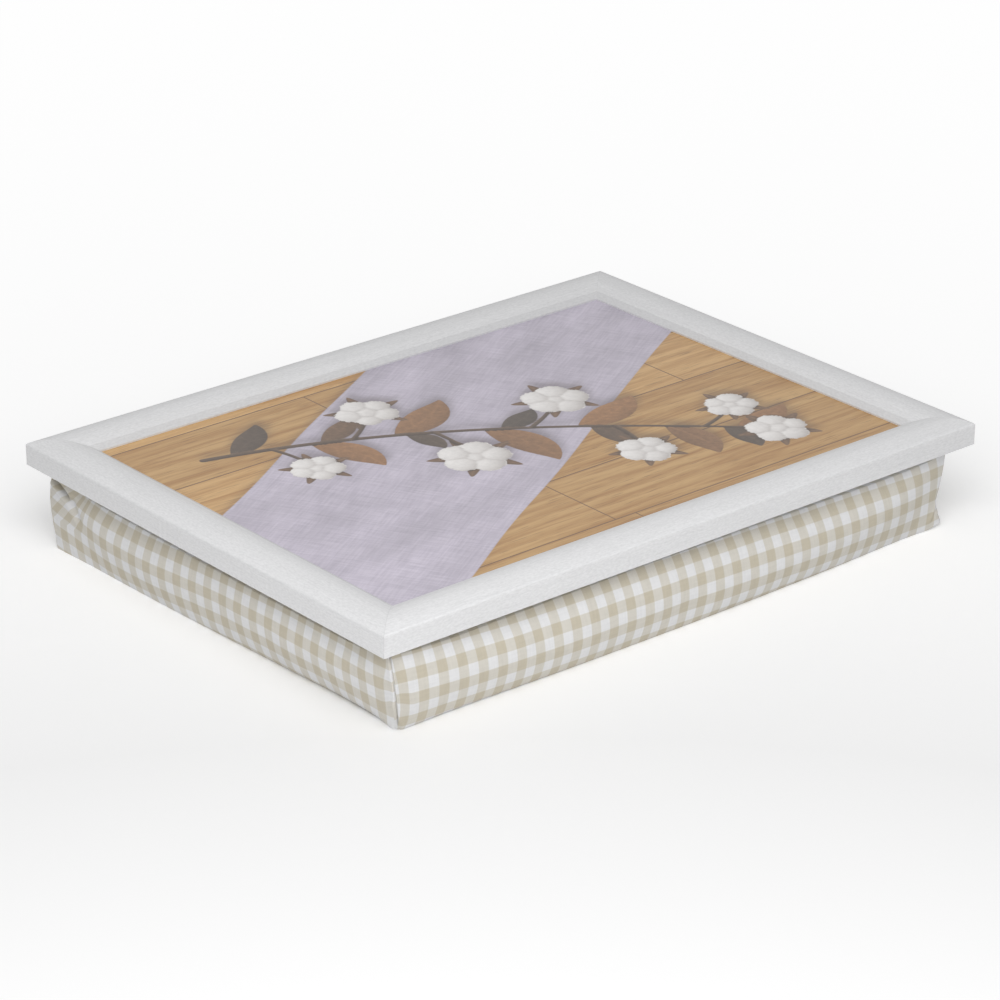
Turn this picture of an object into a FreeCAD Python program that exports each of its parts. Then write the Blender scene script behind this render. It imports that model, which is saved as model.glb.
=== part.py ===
"""A lap tray: a mitred, rebated frame round a printed board, on a bead-filled gingham cushion.

Millimetres. +X runs along the long side, -Y is the side nearest the user, +Z is up.
The origin is on the surface the cushion stands on, under the middle of the frame.
"""

import FreeCAD, Part
import math
import os

from FreeCAD import Vector

# Frame: outer size in plan and the height of its underside above the table.
tray_length = 430.0
tray_depth = 320.0
rail_underside = 50.0

# Rail moulding: t is measured inwards from the outer face, heights up from the rail's underside.
rail_width = 29.5
outer_face_height = 12.6
crown_height = 16.0
crown_at = 12.5
slope_start = 20.0
slope_start_height = 14.6
shoulder_at = 25.2
shoulder_height = 12.6
sight_edge_height = 10.0
arris_radius = 1.5
lip_width = 6.0
lip_underside_height = 9.0

# Printed sheet and the board under it, which lie in the rebate against the lip.
sheet_thickness = 0.4
board_thickness = 3.0
board_clearance = 0.5

# V nails across each mitre, driven in from the underside.
nail_leg = 5.0
nail_thickness = 0.6
nail_height = 10.0
nail_places = (8.0, 15.0)

# Flat points that stand out of the rebate's wall under the board.
point_width = 6.0
point_thickness = 0.5
point_in_wood = 7.0
point_out = 8.0
point_tip = 3.0
points_per_long_side = 4
points_per_short_side = 3
point_end_margin = 60.0

# Hook tape under the board and loop tape on the cushion, one pair along each side.
strip_width = 20.0
strip_margin = 8.0
long_strip_length = 240.0
short_strip_length = 140.0
hook_thickness = 1.6
loop_thickness = 1.4
tape_gap = 0.2

# Cushion sides: the top seam, the swell between the seams and the rolled bottom edge.
cushion_seat_gap = 0.3
top_seam_inset = 10.0
top_seam_bow = 0.6
long_side_swell = 7.5
short_side_swell = 6.0
swell_start = 0.25
long_side_roll = 4.0
short_side_roll = 6.7
roll_up = 8.0

# How far each bottom corner is drawn in from the frame's short and long outer faces.
front_left_draw = (16.5, 13.0)
front_right_draw = (12.5, 12.0)
back_right_draw = (12.5, 12.0)
back_left_draw = (12.0, 12.0)
corner_draw_power = 1.2

# Cushion crown, which swells up into the recess under the board.
crown_foot_clearance = 3.0
crown_shoulder_run = 6.0
crown_run = 14.0
crown_shoulder_share = 0.72
crown_foot_depth = 4.0

# Cloth layers, and the gap that keeps one layer clear of the next.
cover_thickness = 0.8
cover_top_turn = 1.0
liner_thickness = 0.5
layer_gap = 0.3

# Heights and places worked out from the sizes above.
half_length = tray_length / 2
half_depth = tray_depth / 2
rebate_wall = rail_width - lip_width
sheet_top = rail_underside + lip_underside_height
board_top = sheet_top - sheet_thickness
board_underside = board_top - board_thickness
hook_underside = board_underside - hook_thickness
loop_top = hook_underside - tape_gap
crown_top = loop_top - loop_thickness
cushion_height = rail_underside - cushion_seat_gap
crown_foot_inset = rebate_wall + crown_foot_clearance
crown_flat_inset = crown_foot_inset + crown_run
strip_edge_inset = crown_flat_inset + strip_margin
seam_height = cushion_height - cover_thickness - cover_top_turn

# The four sides in turn: name, turn about Z in degrees, distance out, length of the outer face.
SIDES = (
    ("front", 0, half_depth, tray_length),
    ("right", 90, half_length, tray_depth),
    ("back", 180, half_depth, tray_length),
    ("left", 270, half_length, tray_depth),
)

# Corners in the order that the cushion's outline runs, with the draw of each bottom corner.
CORNERS = (
    (-1, -1, front_left_draw),
    (1, -1, front_right_draw),
    (1, 1, back_right_draw),
    (-1, 1, back_left_draw),
)

# Where the cushion's sections are taken: shares of the rolled edge, then of the whole side.
ROLL_SECTIONS = (0.0, 0.4, 1.2)
SIDE_SECTIONS = (0.5, 0.75, 1.0)


def prism(points, bottom, top):
    """Extrude the closed outline of plan points from the bottom height to the top height."""
    outline = [Vector(x, y, bottom) for x, y in points]
    outline.append(outline[0])
    face = Part.Face(Part.makePolygon(outline))
    return face.extrude(Vector(0, 0, top - bottom))


def box(low, high):
    """A box between two opposite corners."""
    size = [b - a for a, b in zip(low, high)]
    return Part.makeBox(*size, Vector(*low))


def turned(shape, degrees):
    """A copy of the shape turned about the Z axis."""
    copy = shape.copy()
    copy.rotate(Vector(0, 0, 0), Vector(0, 0, 1), degrees)
    return copy


def on_side(shape, degrees, distance):
    """Place a shape drawn with its outer face on y = 0 and y inwards on one side of the frame."""
    copy = shape.copy()
    copy.translate(Vector(0, -distance, 0))
    return turned(copy, degrees)


def circle_dip(radius, run):
    """How far an arc of this radius falls over a run measured from its highest point."""
    return radius - math.sqrt(radius ** 2 - run ** 2)


def crown_radius(run, drop):
    """Radius of the arc that is level at the crown and falls by drop over run."""
    return (run ** 2 + drop ** 2) / (2 * drop)


def arris_arc(rise):
    """Start, middle and end (t, height) of the arc that rounds the outer face into the climb.

    The arc touches the outer face and, from inside, the circle of radius rise that makes the climb.
    """
    climb_centre = crown_height - rise
    run = crown_at - arris_radius
    centre = climb_centre + math.sqrt((rise - arris_radius) ** 2 - run ** 2)
    touch = math.atan2(centre - climb_centre, -run)
    angles = (math.pi, (math.pi + touch) / 2, touch)
    return [(arris_radius * (1 + math.cos(a)), centre + arris_radius * math.sin(a)) for a in angles]


def rail_profile(start_x):
    """The moulding's section as a face in the plane x = start_x.

    The outer face rises to a small arris, one arc climbs to the crown and another falls from it,
    a slope and a bevel run down to the sight edge, and the rebate is cut out below the lip.
    """
    rise = crown_radius(crown_at, crown_height - outer_face_height)
    fall = crown_radius(slope_start - crown_at, crown_height - slope_start_height)

    def place(t, height):
        return Vector(start_x, t, rail_underside + height)

    def outer_arc(t):
        return crown_height - circle_dip(rise, crown_at - t)

    def inner_arc(t):
        return crown_height - circle_dip(fall, t - crown_at)

    arris_low, arris_mid, arris_high = [place(t, height) for t, height in arris_arc(rise)]
    climb_at = (arris_high.y + crown_at) / 2
    climb_mid = place(climb_at, outer_arc(climb_at))
    crown = place(crown_at, crown_height)
    fall_at = (crown_at + slope_start) / 2
    fall_mid = place(fall_at, inner_arc(fall_at))
    slope = place(slope_start, slope_start_height)
    straight = [
        slope,
        place(shoulder_at, shoulder_height),
        place(rail_width, sight_edge_height),
        place(rail_width, lip_underside_height),
        place(rebate_wall, lip_underside_height),
        place(rebate_wall, 0),
        place(0, 0),
        arris_low,
    ]
    edges = [
        Part.Arc(arris_low, arris_mid, arris_high).toShape(),
        Part.Arc(arris_high, climb_mid, crown).toShape(),
        Part.Arc(crown, fall_mid, slope).toShape(),
    ]
    edges += [Part.LineSegment(a, b).toShape() for a, b in zip(straight, straight[1:])]
    return Part.Face(Part.Wire(edges))


def rail(degrees, distance, length, fastenings):
    """One mitred rail, with the seats of the nails and points that are driven into it."""
    blank = rail_profile(-length / 2).extrude(Vector(length, 0, 0))
    mitred_plan = [
        (-length / 2, 0),
        (length / 2, 0),
        (length / 2 - rail_width, rail_width),
        (-length / 2 + rail_width, rail_width),
    ]
    mitred = blank.common(prism(mitred_plan, rail_underside, rail_underside + crown_height))
    return on_side(mitred, degrees, distance).cut(fastenings)


def v_nails():
    """Two V nails in each mitre, each a bent strip whose legs run along the two rails."""
    nails = []
    for x_sign, y_sign, _ in CORNERS:
        for start in nail_places:
            end = start + nail_leg
            inner = start + nail_thickness
            plan = [(start, start), (end, start), (end, inner), (inner, inner), (inner, end), (start, end)]
            placed = [(x_sign * (half_length - u), y_sign * (half_depth - v)) for u, v in plan]
            nails.append(prism(placed, rail_underside, rail_underside + nail_height))
    return nails


def board_points():
    """Flat pointed steel tabs along the rebate, half in the wood and half under the board."""
    plan = [
        (-point_width / 2, rebate_wall + point_out),
        (-point_width / 2, rebate_wall - point_in_wood + point_tip),
        (0, rebate_wall - point_in_wood),
        (point_width / 2, rebate_wall - point_in_wood + point_tip),
        (point_width / 2, rebate_wall + point_out),
    ]
    point = prism(plan, board_underside - point_thickness, board_underside)
    points = []
    for name, degrees, distance, length in SIDES:
        count = points_per_long_side if name in ("front", "back") else points_per_short_side
        spread = length - 2 * point_end_margin
        for index in range(count):
            shifted = point.copy()
            shifted.translate(Vector(spread * (index / (count - 1) - 0.5), 0, 0))
            points.append(on_side(shifted, degrees, distance))
    return points


def panel(bottom, top):
    """A flat panel that fills the rebate with a clearance all round."""
    half_x = half_length - rebate_wall - board_clearance
    half_y = half_depth - rebate_wall - board_clearance
    return box((-half_x, -half_y, bottom), (half_x, half_y, top))


def strip(name, degrees, distance, bottom, top):
    """A length of tape along one side, at the same place under the board and on the cushion."""
    length = long_strip_length if name in ("front", "back") else short_strip_length
    low = (-length / 2, strip_edge_inset, bottom)
    high = (length / 2, strip_edge_inset + strip_width, top)
    return on_side(box(low, high), degrees, distance)


def side_inset(height, side_swell, side_roll):
    """Inset of the middle of a side: a sine swell below the top seam and a rolled bottom edge."""
    share = swell_start + (1 - swell_start) * height / cushion_height
    swell = top_seam_bow + (side_swell - top_seam_bow) * math.sin(math.pi * share)
    left_to_roll = max(0.0, 1 - height / roll_up)
    roll = side_roll * (1 - math.sqrt(1 - left_to_roll ** 2))
    return top_seam_inset - swell + roll


def corner_inset(draw, height):
    """Inset of a corner seam, which leans in from the top seam to the drawn-in bottom corner."""
    share = (1 - height / cushion_height) ** corner_draw_power
    return [top_seam_inset + (inset - top_seam_inset) * share for inset in draw]


def side_section(height, layer):
    """Outline of the cushion at one height: four bowed sides that meet at the corner seams.

    layer shrinks the outline inwards, and its height towards mid-height, for an inner layer.
    """
    level = layer + height * (cushion_height - 2 * layer) / cushion_height
    long_out = half_depth - side_inset(height, long_side_swell, long_side_roll) - layer
    short_out = half_length - side_inset(height, short_side_swell, short_side_roll) - layer
    middles = [
        Vector(0, -long_out, level),
        Vector(short_out, 0, level),
        Vector(0, long_out, level),
        Vector(-short_out, 0, level),
    ]
    corners = []
    for x_sign, y_sign, draw in CORNERS:
        in_x, in_y = corner_inset(draw, height)
        out_x = half_length - in_x - layer
        out_y = half_depth - in_y - layer
        corners.append(Vector(x_sign * out_x, y_sign * out_y, level))
    ends = corners[1:] + corners[:1]
    return Part.Wire([Part.Arc(a, m, b).toShape() for a, m, b in zip(corners, middles, ends)])


def crown_section(inset, level):
    """Rectangular outline of the crown at one level."""
    half_x = half_length - inset
    half_y = half_depth - inset
    plan = [(-half_x, -half_y), (half_x, -half_y), (half_x, half_y), (-half_x, half_y), (-half_x, -half_y)]
    return Part.makePolygon([Vector(x, y, level) for x, y in plan])


def cushion_form(layer):
    """The cushion's whole outer form, or the same form shrunk inwards for an inner layer."""
    heights = [roll_up * share for share in ROLL_SECTIONS]
    heights += [cushion_height * share for share in SIDE_SECTIONS]
    body = Part.makeLoft([side_section(height, layer) for height in heights], True, False)
    foot = cushion_height - layer
    top = crown_top - layer
    sections = [
        crown_section(crown_foot_inset + layer, foot - crown_foot_depth),
        crown_section(crown_foot_inset + layer, foot),
        crown_section(crown_foot_inset + crown_shoulder_run + layer, foot + (top - foot) * crown_shoulder_share),
        crown_section(crown_flat_inset + layer, top),
    ]
    crown = Part.makeLoft(sections, True, True)
    return body.fuse(crown).removeSplitter()


def cushion_layers():
    """The cover's body and top, the liner and the filling, each clear of the next."""
    outside = cushion_form(0.0)
    inside = cushion_form(cover_thickness)
    liner_at = cover_thickness + layer_gap
    filling_at = liner_at + liner_thickness + layer_gap
    below_seam = box((-half_length, -half_depth, -seam_height), (half_length, half_depth, seam_height))
    return {
        "cover_body": outside.common(below_seam).cut(inside),
        "cover_top": outside.cut(below_seam).cut(inside),
        "inner_liner": cushion_form(liner_at).cut(cushion_form(liner_at + liner_thickness)),
        "bead_filling": cushion_form(filling_at),
    }


def build():
    """Every piece of the lap tray, by node name."""
    nails = v_nails()
    points = board_points()
    nodes = {}
    for name, degrees, distance, length in SIDES:
        nodes[name + "_rail"] = rail(degrees, distance, length, nails + points)
        nodes["hook_strip_" + name] = strip(name, degrees, distance, hook_underside, board_underside)
        nodes["loop_strip_" + name] = strip(name, degrees, distance, crown_top, loop_top)
    nodes["corner_v_nails"] = Part.makeCompound(nails)
    nodes["board_points"] = Part.makeCompound(points)
    nodes["printed_sheet"] = panel(board_top, sheet_top)
    nodes["tray_board"] = panel(board_underside, board_top)
    nodes.update(cushion_layers())
    return nodes


os.makedirs("parts", exist_ok=True)
for node, shape in build().items():
    shape.exportStep("parts/" + node + ".step")
    extent = shape.BoundBox
    print(
        f"{node}: {len(shape.Solids)} solid(s), valid {shape.isValid()}, {shape.Volume / 1000:.2f} cm3,"
        f" x {extent.XMin:.1f} to {extent.XMax:.1f}, y {extent.YMin:.1f} to {extent.YMax:.1f},"
        f" z {extent.ZMin:.2f} to {extent.ZMax:.2f}"
    )
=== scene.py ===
"""Lap tray on a cushion, dressed for rendering.

A mitred frame of limed wood-grain moulding holds a printed board. The board lifts off a bead-filled
gingham cushion, which hook and loop tapes hold to it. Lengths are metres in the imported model's frame:
+X to the user's right, +Y away from the user, +Z up from the surface that the cushion stands on.
"""
import logging
import math
from dataclasses import dataclass, field, replace
from enum import Enum

import bpy
import numpy as np
from mathutils import Matrix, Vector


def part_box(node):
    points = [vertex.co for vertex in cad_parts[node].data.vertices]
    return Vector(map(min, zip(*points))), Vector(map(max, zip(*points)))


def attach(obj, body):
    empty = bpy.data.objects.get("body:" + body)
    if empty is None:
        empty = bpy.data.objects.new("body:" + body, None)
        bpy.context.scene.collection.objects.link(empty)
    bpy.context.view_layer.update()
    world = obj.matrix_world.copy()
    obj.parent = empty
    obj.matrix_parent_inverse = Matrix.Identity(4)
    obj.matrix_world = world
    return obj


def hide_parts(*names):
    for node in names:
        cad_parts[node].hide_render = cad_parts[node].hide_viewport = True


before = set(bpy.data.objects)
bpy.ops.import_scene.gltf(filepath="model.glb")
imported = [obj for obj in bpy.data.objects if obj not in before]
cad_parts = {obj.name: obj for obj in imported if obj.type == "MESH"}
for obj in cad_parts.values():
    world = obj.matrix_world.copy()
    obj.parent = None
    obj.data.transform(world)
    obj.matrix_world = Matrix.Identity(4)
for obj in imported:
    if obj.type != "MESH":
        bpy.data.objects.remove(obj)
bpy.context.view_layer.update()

LOG = logging.getLogger("lap_tray")
MM = 0.001
PRINT_REACH = 12 * MM
Socket = bpy.types.NodeSocket
Tree = bpy.types.NodeTree


class Body(Enum):
    """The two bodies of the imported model."""

    CUSHION = "cushion"
    TRAY = "tray"


class Grain(Enum):
    """Which way a rail's grain runs."""

    ALONG_X = 0
    ALONG_Y = 1


class Pile(Enum):
    """The working face of a fastening tape."""

    HOOK = "hook"
    LOOP = "loop"


def mm(*values: float) -> tuple[float, ...]:
    """Turns millimetres into metres."""
    return tuple(value * MM for value in values)


def linear(code: str) -> tuple[float, float, float, float]:
    """Turns an sRGB hex colour into linear light.

    Args:
        code: The colour as "#RRGGBB".

    Returns:
        Linear red, green and blue, and an alpha of one.
    """
    channels = np.array([int(code[start:start + 2], 16) / 255 for start in (1, 3, 5)])
    values = np.where(channels <= 0.04045, channels / 12.92, ((channels + 0.055) / 1.055) ** 2.4)
    return (*values.tolist(), 1.0)


def add(tree: Tree, kind: str, sockets: dict | None = None, out: int | str = 0, **settings: object) -> Socket:
    """Adds one shader node with its settings, and links or sets what feeds it.

    Args:
        tree: The material's node tree.
        kind: The node's type, without the word ShaderNode.
        sockets: What goes into each input: another node's output to link, or a plain value.
        out: The output that is wanted.
        settings: The node's own properties.

    Returns:
        The wanted output socket.
    """
    made = tree.nodes.new("ShaderNode" + kind)
    for name, value in settings.items():
        setattr(made, name, value)
    for socket, value in (sockets or {}).items():
        if isinstance(value, Socket):
            tree.links.new(value, made.inputs[socket])
        else:
            made.inputs[socket].default_value = value
    return made.outputs[out]


def maths(tree: Tree, operation: str, *values: Socket | float, use_clamp: bool = False) -> Socket:
    """One step of arithmetic, with the operation named as the shader node names it."""
    return add(tree, "Math", dict(enumerate(values)), operation=operation, use_clamp=use_clamp)


def scaled(tree: Tree, colour: Socket, light: Socket | float) -> Socket:
    """Multiplies a colour, or a place, by one value."""
    return add(tree, "VectorMath", {0: colour, "Scale": light}, operation="SCALE")


def mix(tree: Tree, share: Socket, first: Socket | str, second: Socket | str) -> Socket:
    """Mixes two colours, each a node's output or a hex code."""
    ends = [linear(colour) if isinstance(colour, str) else colour for colour in (first, second)]
    return add(tree, "Mix", {0: share, 6: ends[0], 7: ends[1]}, out=2, data_type="RGBA")


def ranged(tree: Tree, value: Socket, low: float = 0.0, high: float = 1.0, to_low: float = 0.0,
           to_high: float = 1.0, **settings: object) -> Socket:
    """Carries a value from one range to another, and holds it at the ends.

    Args:
        tree: The material's node tree.
        value: The value.
        low: Where its range starts.
        high: Where its range ends.
        to_low: What the start becomes.
        to_high: What the end becomes.
        settings: The node's own properties.

    Returns:
        The carried value.
    """
    return add(tree, "MapRange", {
        "Value": value, "From Min": low, "From Max": high, "To Min": to_low, "To Max": to_high,
    }, **settings)


def noise(tree: Tree, place: Socket, scale: float | tuple[float, float, float], detail: float = 2.0,
          roughness: float = 0.5, distortion: float = 0.0) -> Socket:
    """Adds smooth noise from 0 to 1.

    Args:
        tree: The material's node tree.
        place: Where it is read.
        scale: Its scale, or one for each axis.
        detail: How many finer octaves are added.
        roughness: How strong those are.
        distortion: How far it is twisted.

    Returns:
        The noise.
    """
    if isinstance(scale, tuple):
        place, scale = add(tree, "Mapping", {"Vector": place, "Scale": scale}), 1.0
    return add(tree, "TexNoise", {
        "Vector": place, "Scale": scale, "Detail": detail, "Roughness": roughness, "Distortion": distortion,
    })


def smoothstep(value: np.ndarray, low: float, high: float) -> np.ndarray:
    """Rises from 0 at low to 1 at high with level ends (3t^2 - 2t^3)."""
    share = np.clip((value - low) / (high - low), 0, 1)
    return share * share * (3 - 2 * share)


def bell(value: np.ndarray, width: float) -> np.ndarray:
    """A bell of height one, exp(-(value / width)^2)."""
    return np.exp(-((value / width) ** 2))


def ripple(across: np.ndarray, down: np.ndarray, wavelength: float, seed: int, waves: int = 7) -> np.ndarray:
    """Smooth seeded unevenness: a sum of sine waves in drawn directions, of about one wavelength.

    Args:
        across: First coordinate of every point.
        down: Second coordinate of every point.
        wavelength: The middle wavelength, in the coordinates' unit.
        seed: Seed of the draws.
        waves: How many waves are added.

    Returns:
        Values mostly between -1 and 1.
    """
    draw = np.random.default_rng(seed)
    turns = draw.uniform(0, 2 * np.pi, waves)
    phases = draw.uniform(0, 2 * np.pi, waves)
    lengths = wavelength * draw.uniform(0.7, 1.5, waves)
    total = np.zeros(np.broadcast(across, down).shape)
    for turn, phase, length in zip(turns, phases, lengths):
        total += np.sin(2 * np.pi * (across * np.cos(turn) + down * np.sin(turn)) / length + phase)
    return total / math.sqrt(waves)


def grid_normals(points: np.ndarray) -> np.ndarray:
    """Unit normals of a grid: the cross product of its down and across differences."""
    normals = np.cross(np.gradient(points, axis=0), np.gradient(points, axis=1))
    return normals / np.maximum(np.linalg.norm(normals, axis=-1, keepdims=True), 1e-12)


def grid_quads(ids: np.ndarray) -> np.ndarray:
    """Quads of a grid of vertex numbers, which face along down x across."""
    corners = (ids[:-1, :-1], ids[1:, :-1], ids[1:, 1:], ids[:-1, 1:])
    return np.stack(corners, -1).reshape(-1, 4)


def numbered(points: np.ndarray) -> np.ndarray:
    """Vertex numbers of a grid of points."""
    return np.arange(points.shape[0] * points.shape[1]).reshape(points.shape[:2])


def closed(grid: np.ndarray) -> np.ndarray:
    """A grid with its first column again at its end."""
    return np.concatenate([grid, grid[:, :1]], 1)


def looped(panels: list[np.ndarray]) -> np.ndarray:
    """Sides joined into one loop of columns, where each side's last column is the next one's first."""
    return np.concatenate([points[:, :-1] for points in panels], 1)


def coons(front: np.ndarray, back: np.ndarray, left: np.ndarray, right: np.ndarray,
          u: np.ndarray, v: np.ndarray) -> np.ndarray:
    """A patch between four edge lines: both rulings added, less the bilinear patch of the corners.

    Args:
        front: Points along u at v = 0.
        back: Points along u at v = 1.
        left: Points along v at u = 0.
        right: Points along v at u = 1.
        u: Shares of the front and back lines.
        v: Shares of the left and right lines.

    Returns:
        Points in rows along v and columns along u.
    """
    u, v = u[None, :, None], v[:, None, None]
    ruled = (1 - v) * front[None] + v * back[None] + (1 - u) * left[:, None] + u * right[:, None]
    corners = (1 - v) * ((1 - u) * front[0] + u * front[-1]) + v * ((1 - u) * back[0] + u * back[-1])
    return ruled - corners


def catmull_rom(shares: np.ndarray, count: int) -> np.ndarray:
    """Weights that read evenly spaced values at any share, along a Catmull-Rom curve.

    Args:
        shares: Places from 0 to 1.
        count: How many values there are.

    Returns:
        One row of weights for each share.
    """
    place = shares * (count - 1)
    index = np.clip(np.floor(place).astype(int), 0, count - 2)
    t = place - index
    weights = np.stack([
        -0.5 * t + t ** 2 - 0.5 * t ** 3,
        1 - 2.5 * t ** 2 + 1.5 * t ** 3,
        0.5 * t + 2 * t ** 2 - 1.5 * t ** 3,
        -0.5 * t ** 2 + 0.5 * t ** 3,
    ])
    matrix = np.zeros((len(shares), count))
    for shift, weight in zip((-1, 0, 1, 2), weights):
        np.add.at(matrix, (np.arange(len(shares)), np.clip(index + shift, 0, count - 1)), weight)
    return matrix


def make_piece(name: str, points: np.ndarray, faces: list, body: Body,
               material: bpy.types.Material, corner_uv: np.ndarray | None = None,
               colours: dict[str, np.ndarray] | None = None) -> bpy.types.Object:
    """Makes a piece from whole arrays, smooth shaded, and lets it ride on its body.

    Args:
        name: The piece's name.
        points: Its vertices.
        faces: Its faces, as vertex numbers.
        body: The body that it moves with.
        material: Its finish.
        corner_uv: Flat coordinates of each face corner, in the order of the faces.
        colours: Four values at each vertex, by attribute name.

    Returns:
        The new object.
    """
    mesh = bpy.data.meshes.new(name)
    mesh.from_pydata(points.reshape(-1, 3), [], faces)
    mesh.polygons.foreach_set("use_smooth", np.ones(len(mesh.polygons), bool))
    if corner_uv is not None:
        mesh.uv_layers.new(name="cloth").data.foreach_set("uv", corner_uv.ravel().astype(np.float32))
    for attribute, values in (colours or {}).items():
        layer = mesh.attributes.new(attribute, "FLOAT_COLOR", "POINT")
        layer.data.foreach_set("color", values.ravel().astype(np.float32))
    mesh.materials.append(material)
    mesh.update()
    piece = bpy.data.objects.new(name, mesh)
    bpy.context.scene.collection.objects.link(piece)
    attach(piece, body.value)
    LOG.info("%s: %d faces on %s", name, len(mesh.polygons), body.value)
    return piece


def dress(node: str, material: bpy.types.Material) -> None:
    """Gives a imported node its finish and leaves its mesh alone.

    Args:
        node: The node's name.
        material: Its finish.
    """
    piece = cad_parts[node]
    if piece.material_slots:
        for place in piece.material_slots:
            place.material = material
    else:
        piece.data.materials.append(material)
    LOG.info("%s: dressed in %s", node, material.name)


@dataclass(frozen=True)
class Finish:
    """What every finish shares: a name and the shader's own constants."""

    name: str
    roughness: float
    ior: float = 1.5
    metallic: float = 0.0
    sheen: float = 0.0
    specular: float = 0.5
    relief: float = 0.1 * MM

    def start(self) -> tuple[bpy.types.Material, Tree]:
        """Makes the material and sets the constants on its shader's sockets.

        Returns:
            The material and its node tree.
        """
        material = bpy.data.materials.new(self.name)
        material.use_nodes = True
        shader = material.node_tree.nodes["Principled BSDF"]
        shader.inputs["Roughness"].default_value = self.roughness
        shader.inputs["IOR"].default_value = self.ior
        shader.inputs["Metallic"].default_value = self.metallic
        shader.inputs["Specular IOR Level"].default_value = self.specular
        shader.inputs["Sheen Weight"].default_value = self.sheen
        return material, material.node_tree

    def close(self, material: bpy.types.Material, colour: Socket, height: Socket, strength: float,
              invert: bool = False) -> bpy.types.Material:
        """Links the colour, and the height as a bump as deep as this finish's relief.

        Args:
            material: The material.
            colour: Its colour.
            height: Its height, from about 0 to 1.
            strength: How far the bump is used.
            invert: Whether high is pressed in.

        Returns:
            The material.
        """
        tree = material.node_tree
        shader = tree.nodes["Principled BSDF"]
        tree.links.new(colour, shader.inputs["Base Color"])
        sockets = {"Height": height, "Strength": strength, "Distance": self.relief}
        tree.links.new(add(tree, "Bump", sockets, invert=invert), shader.inputs["Normal"])
        return material


@dataclass(frozen=True)
class LimedFoil(Finish):
    """Limed wood-grain foil wrapped on a fibreboard moulding: satin off-white with faint grey pores."""

    grain: Grain = Grain.ALONG_X
    pale: str = "#DDDDDE"
    grey: str = "#D0D0D1"
    pore_length: float = 16 * MM
    pore_width: float = 0.6 * MM
    band_length: float = 90 * MM
    band_width: float = 5 * MM
    fleck_length: float = 2.2 * MM
    fleck_width: float = 0.9 * MM
    fleck_tone: float = 0.088
    mitre_offset: float = 55 * MM
    mitre_line: float = 0.16 * MM
    mitre_grey: str = "#D0D0D1"
    half_sizes: tuple[float, float] = mm(215, 160)
    bevel_start: float = 25.2 * MM
    bevel_edge: float = 0.3 * MM
    bevel_grey: str = "#CECECF"
    relief: float = 0.012 * MM

    def material(self) -> bpy.types.Material:
        """Thin pores, broad bands and short flecks run with the grain; the inner bevel gets a painted shade.

        The mitre is a hairline where |x| - |y| is the frame's own difference.

        Returns:
            The material.
        """
        material, tree = self.start()
        place = add(tree, "TexCoord", out="Object")
        pores = noise(tree, place, self.stretch(self.pore_length, self.pore_width), 3.0, 0.6)
        bands = noise(tree, place, self.stretch(self.band_length, self.band_width))
        pore_share = ranged(tree, pores, 0.5, 0.78, to_high=0.6)
        band_share = ranged(tree, bands, 0.35, 0.75, to_high=0.28)
        grey_share = maths(tree, "ADD", pore_share, band_share, use_clamp=True)
        colour = mix(tree, grey_share, self.pale, self.grey)
        axes = add(tree, "SeparateXYZ", {0: add(tree, "VectorMath", {0: place}, operation="ABSOLUTE")}).node
        # Painted shade: the bevel next to the print is drawn greyer, for the shade that falls there.
        outer = self.half_sizes[1 - self.grain.value]
        inset = maths(tree, "SUBTRACT", outer, axes.outputs[1 - self.grain.value])
        edge = self.bevel_start - self.bevel_edge, self.bevel_start + self.bevel_edge
        bevel = ranged(tree, inset, *edge)
        colour = mix(tree, bevel, colour, self.bevel_grey)
        skew = maths(tree, "SUBTRACT", axes.outputs["X"], axes.outputs["Y"])
        gap = maths(tree, "COMPARE", skew, self.mitre_offset, self.mitre_line)
        colour = mix(tree, gap, colour, self.mitre_grey)
        flecks = noise(tree, place, self.stretch(self.fleck_length, self.fleck_width))
        uneven = ranged(tree, flecks, 0.2, 0.8, 1 - self.fleck_tone, 1 + self.fleck_tone)
        colour = scaled(tree, colour, uneven)
        return self.close(material, colour, pores, 0.5, invert=True)

    def stretch(self, length: float, width: float) -> tuple[float, float, float]:
        """The scale of a pattern that is long with the grain and narrow across it.

        Args:
            length: Its length with the grain.
            width: Its width across the grain.

        Returns:
            One scale for each axis.
        """
        scale = [1 / width] * 3
        scale[self.grain.value] = 1 / length
        return tuple(scale)


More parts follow.
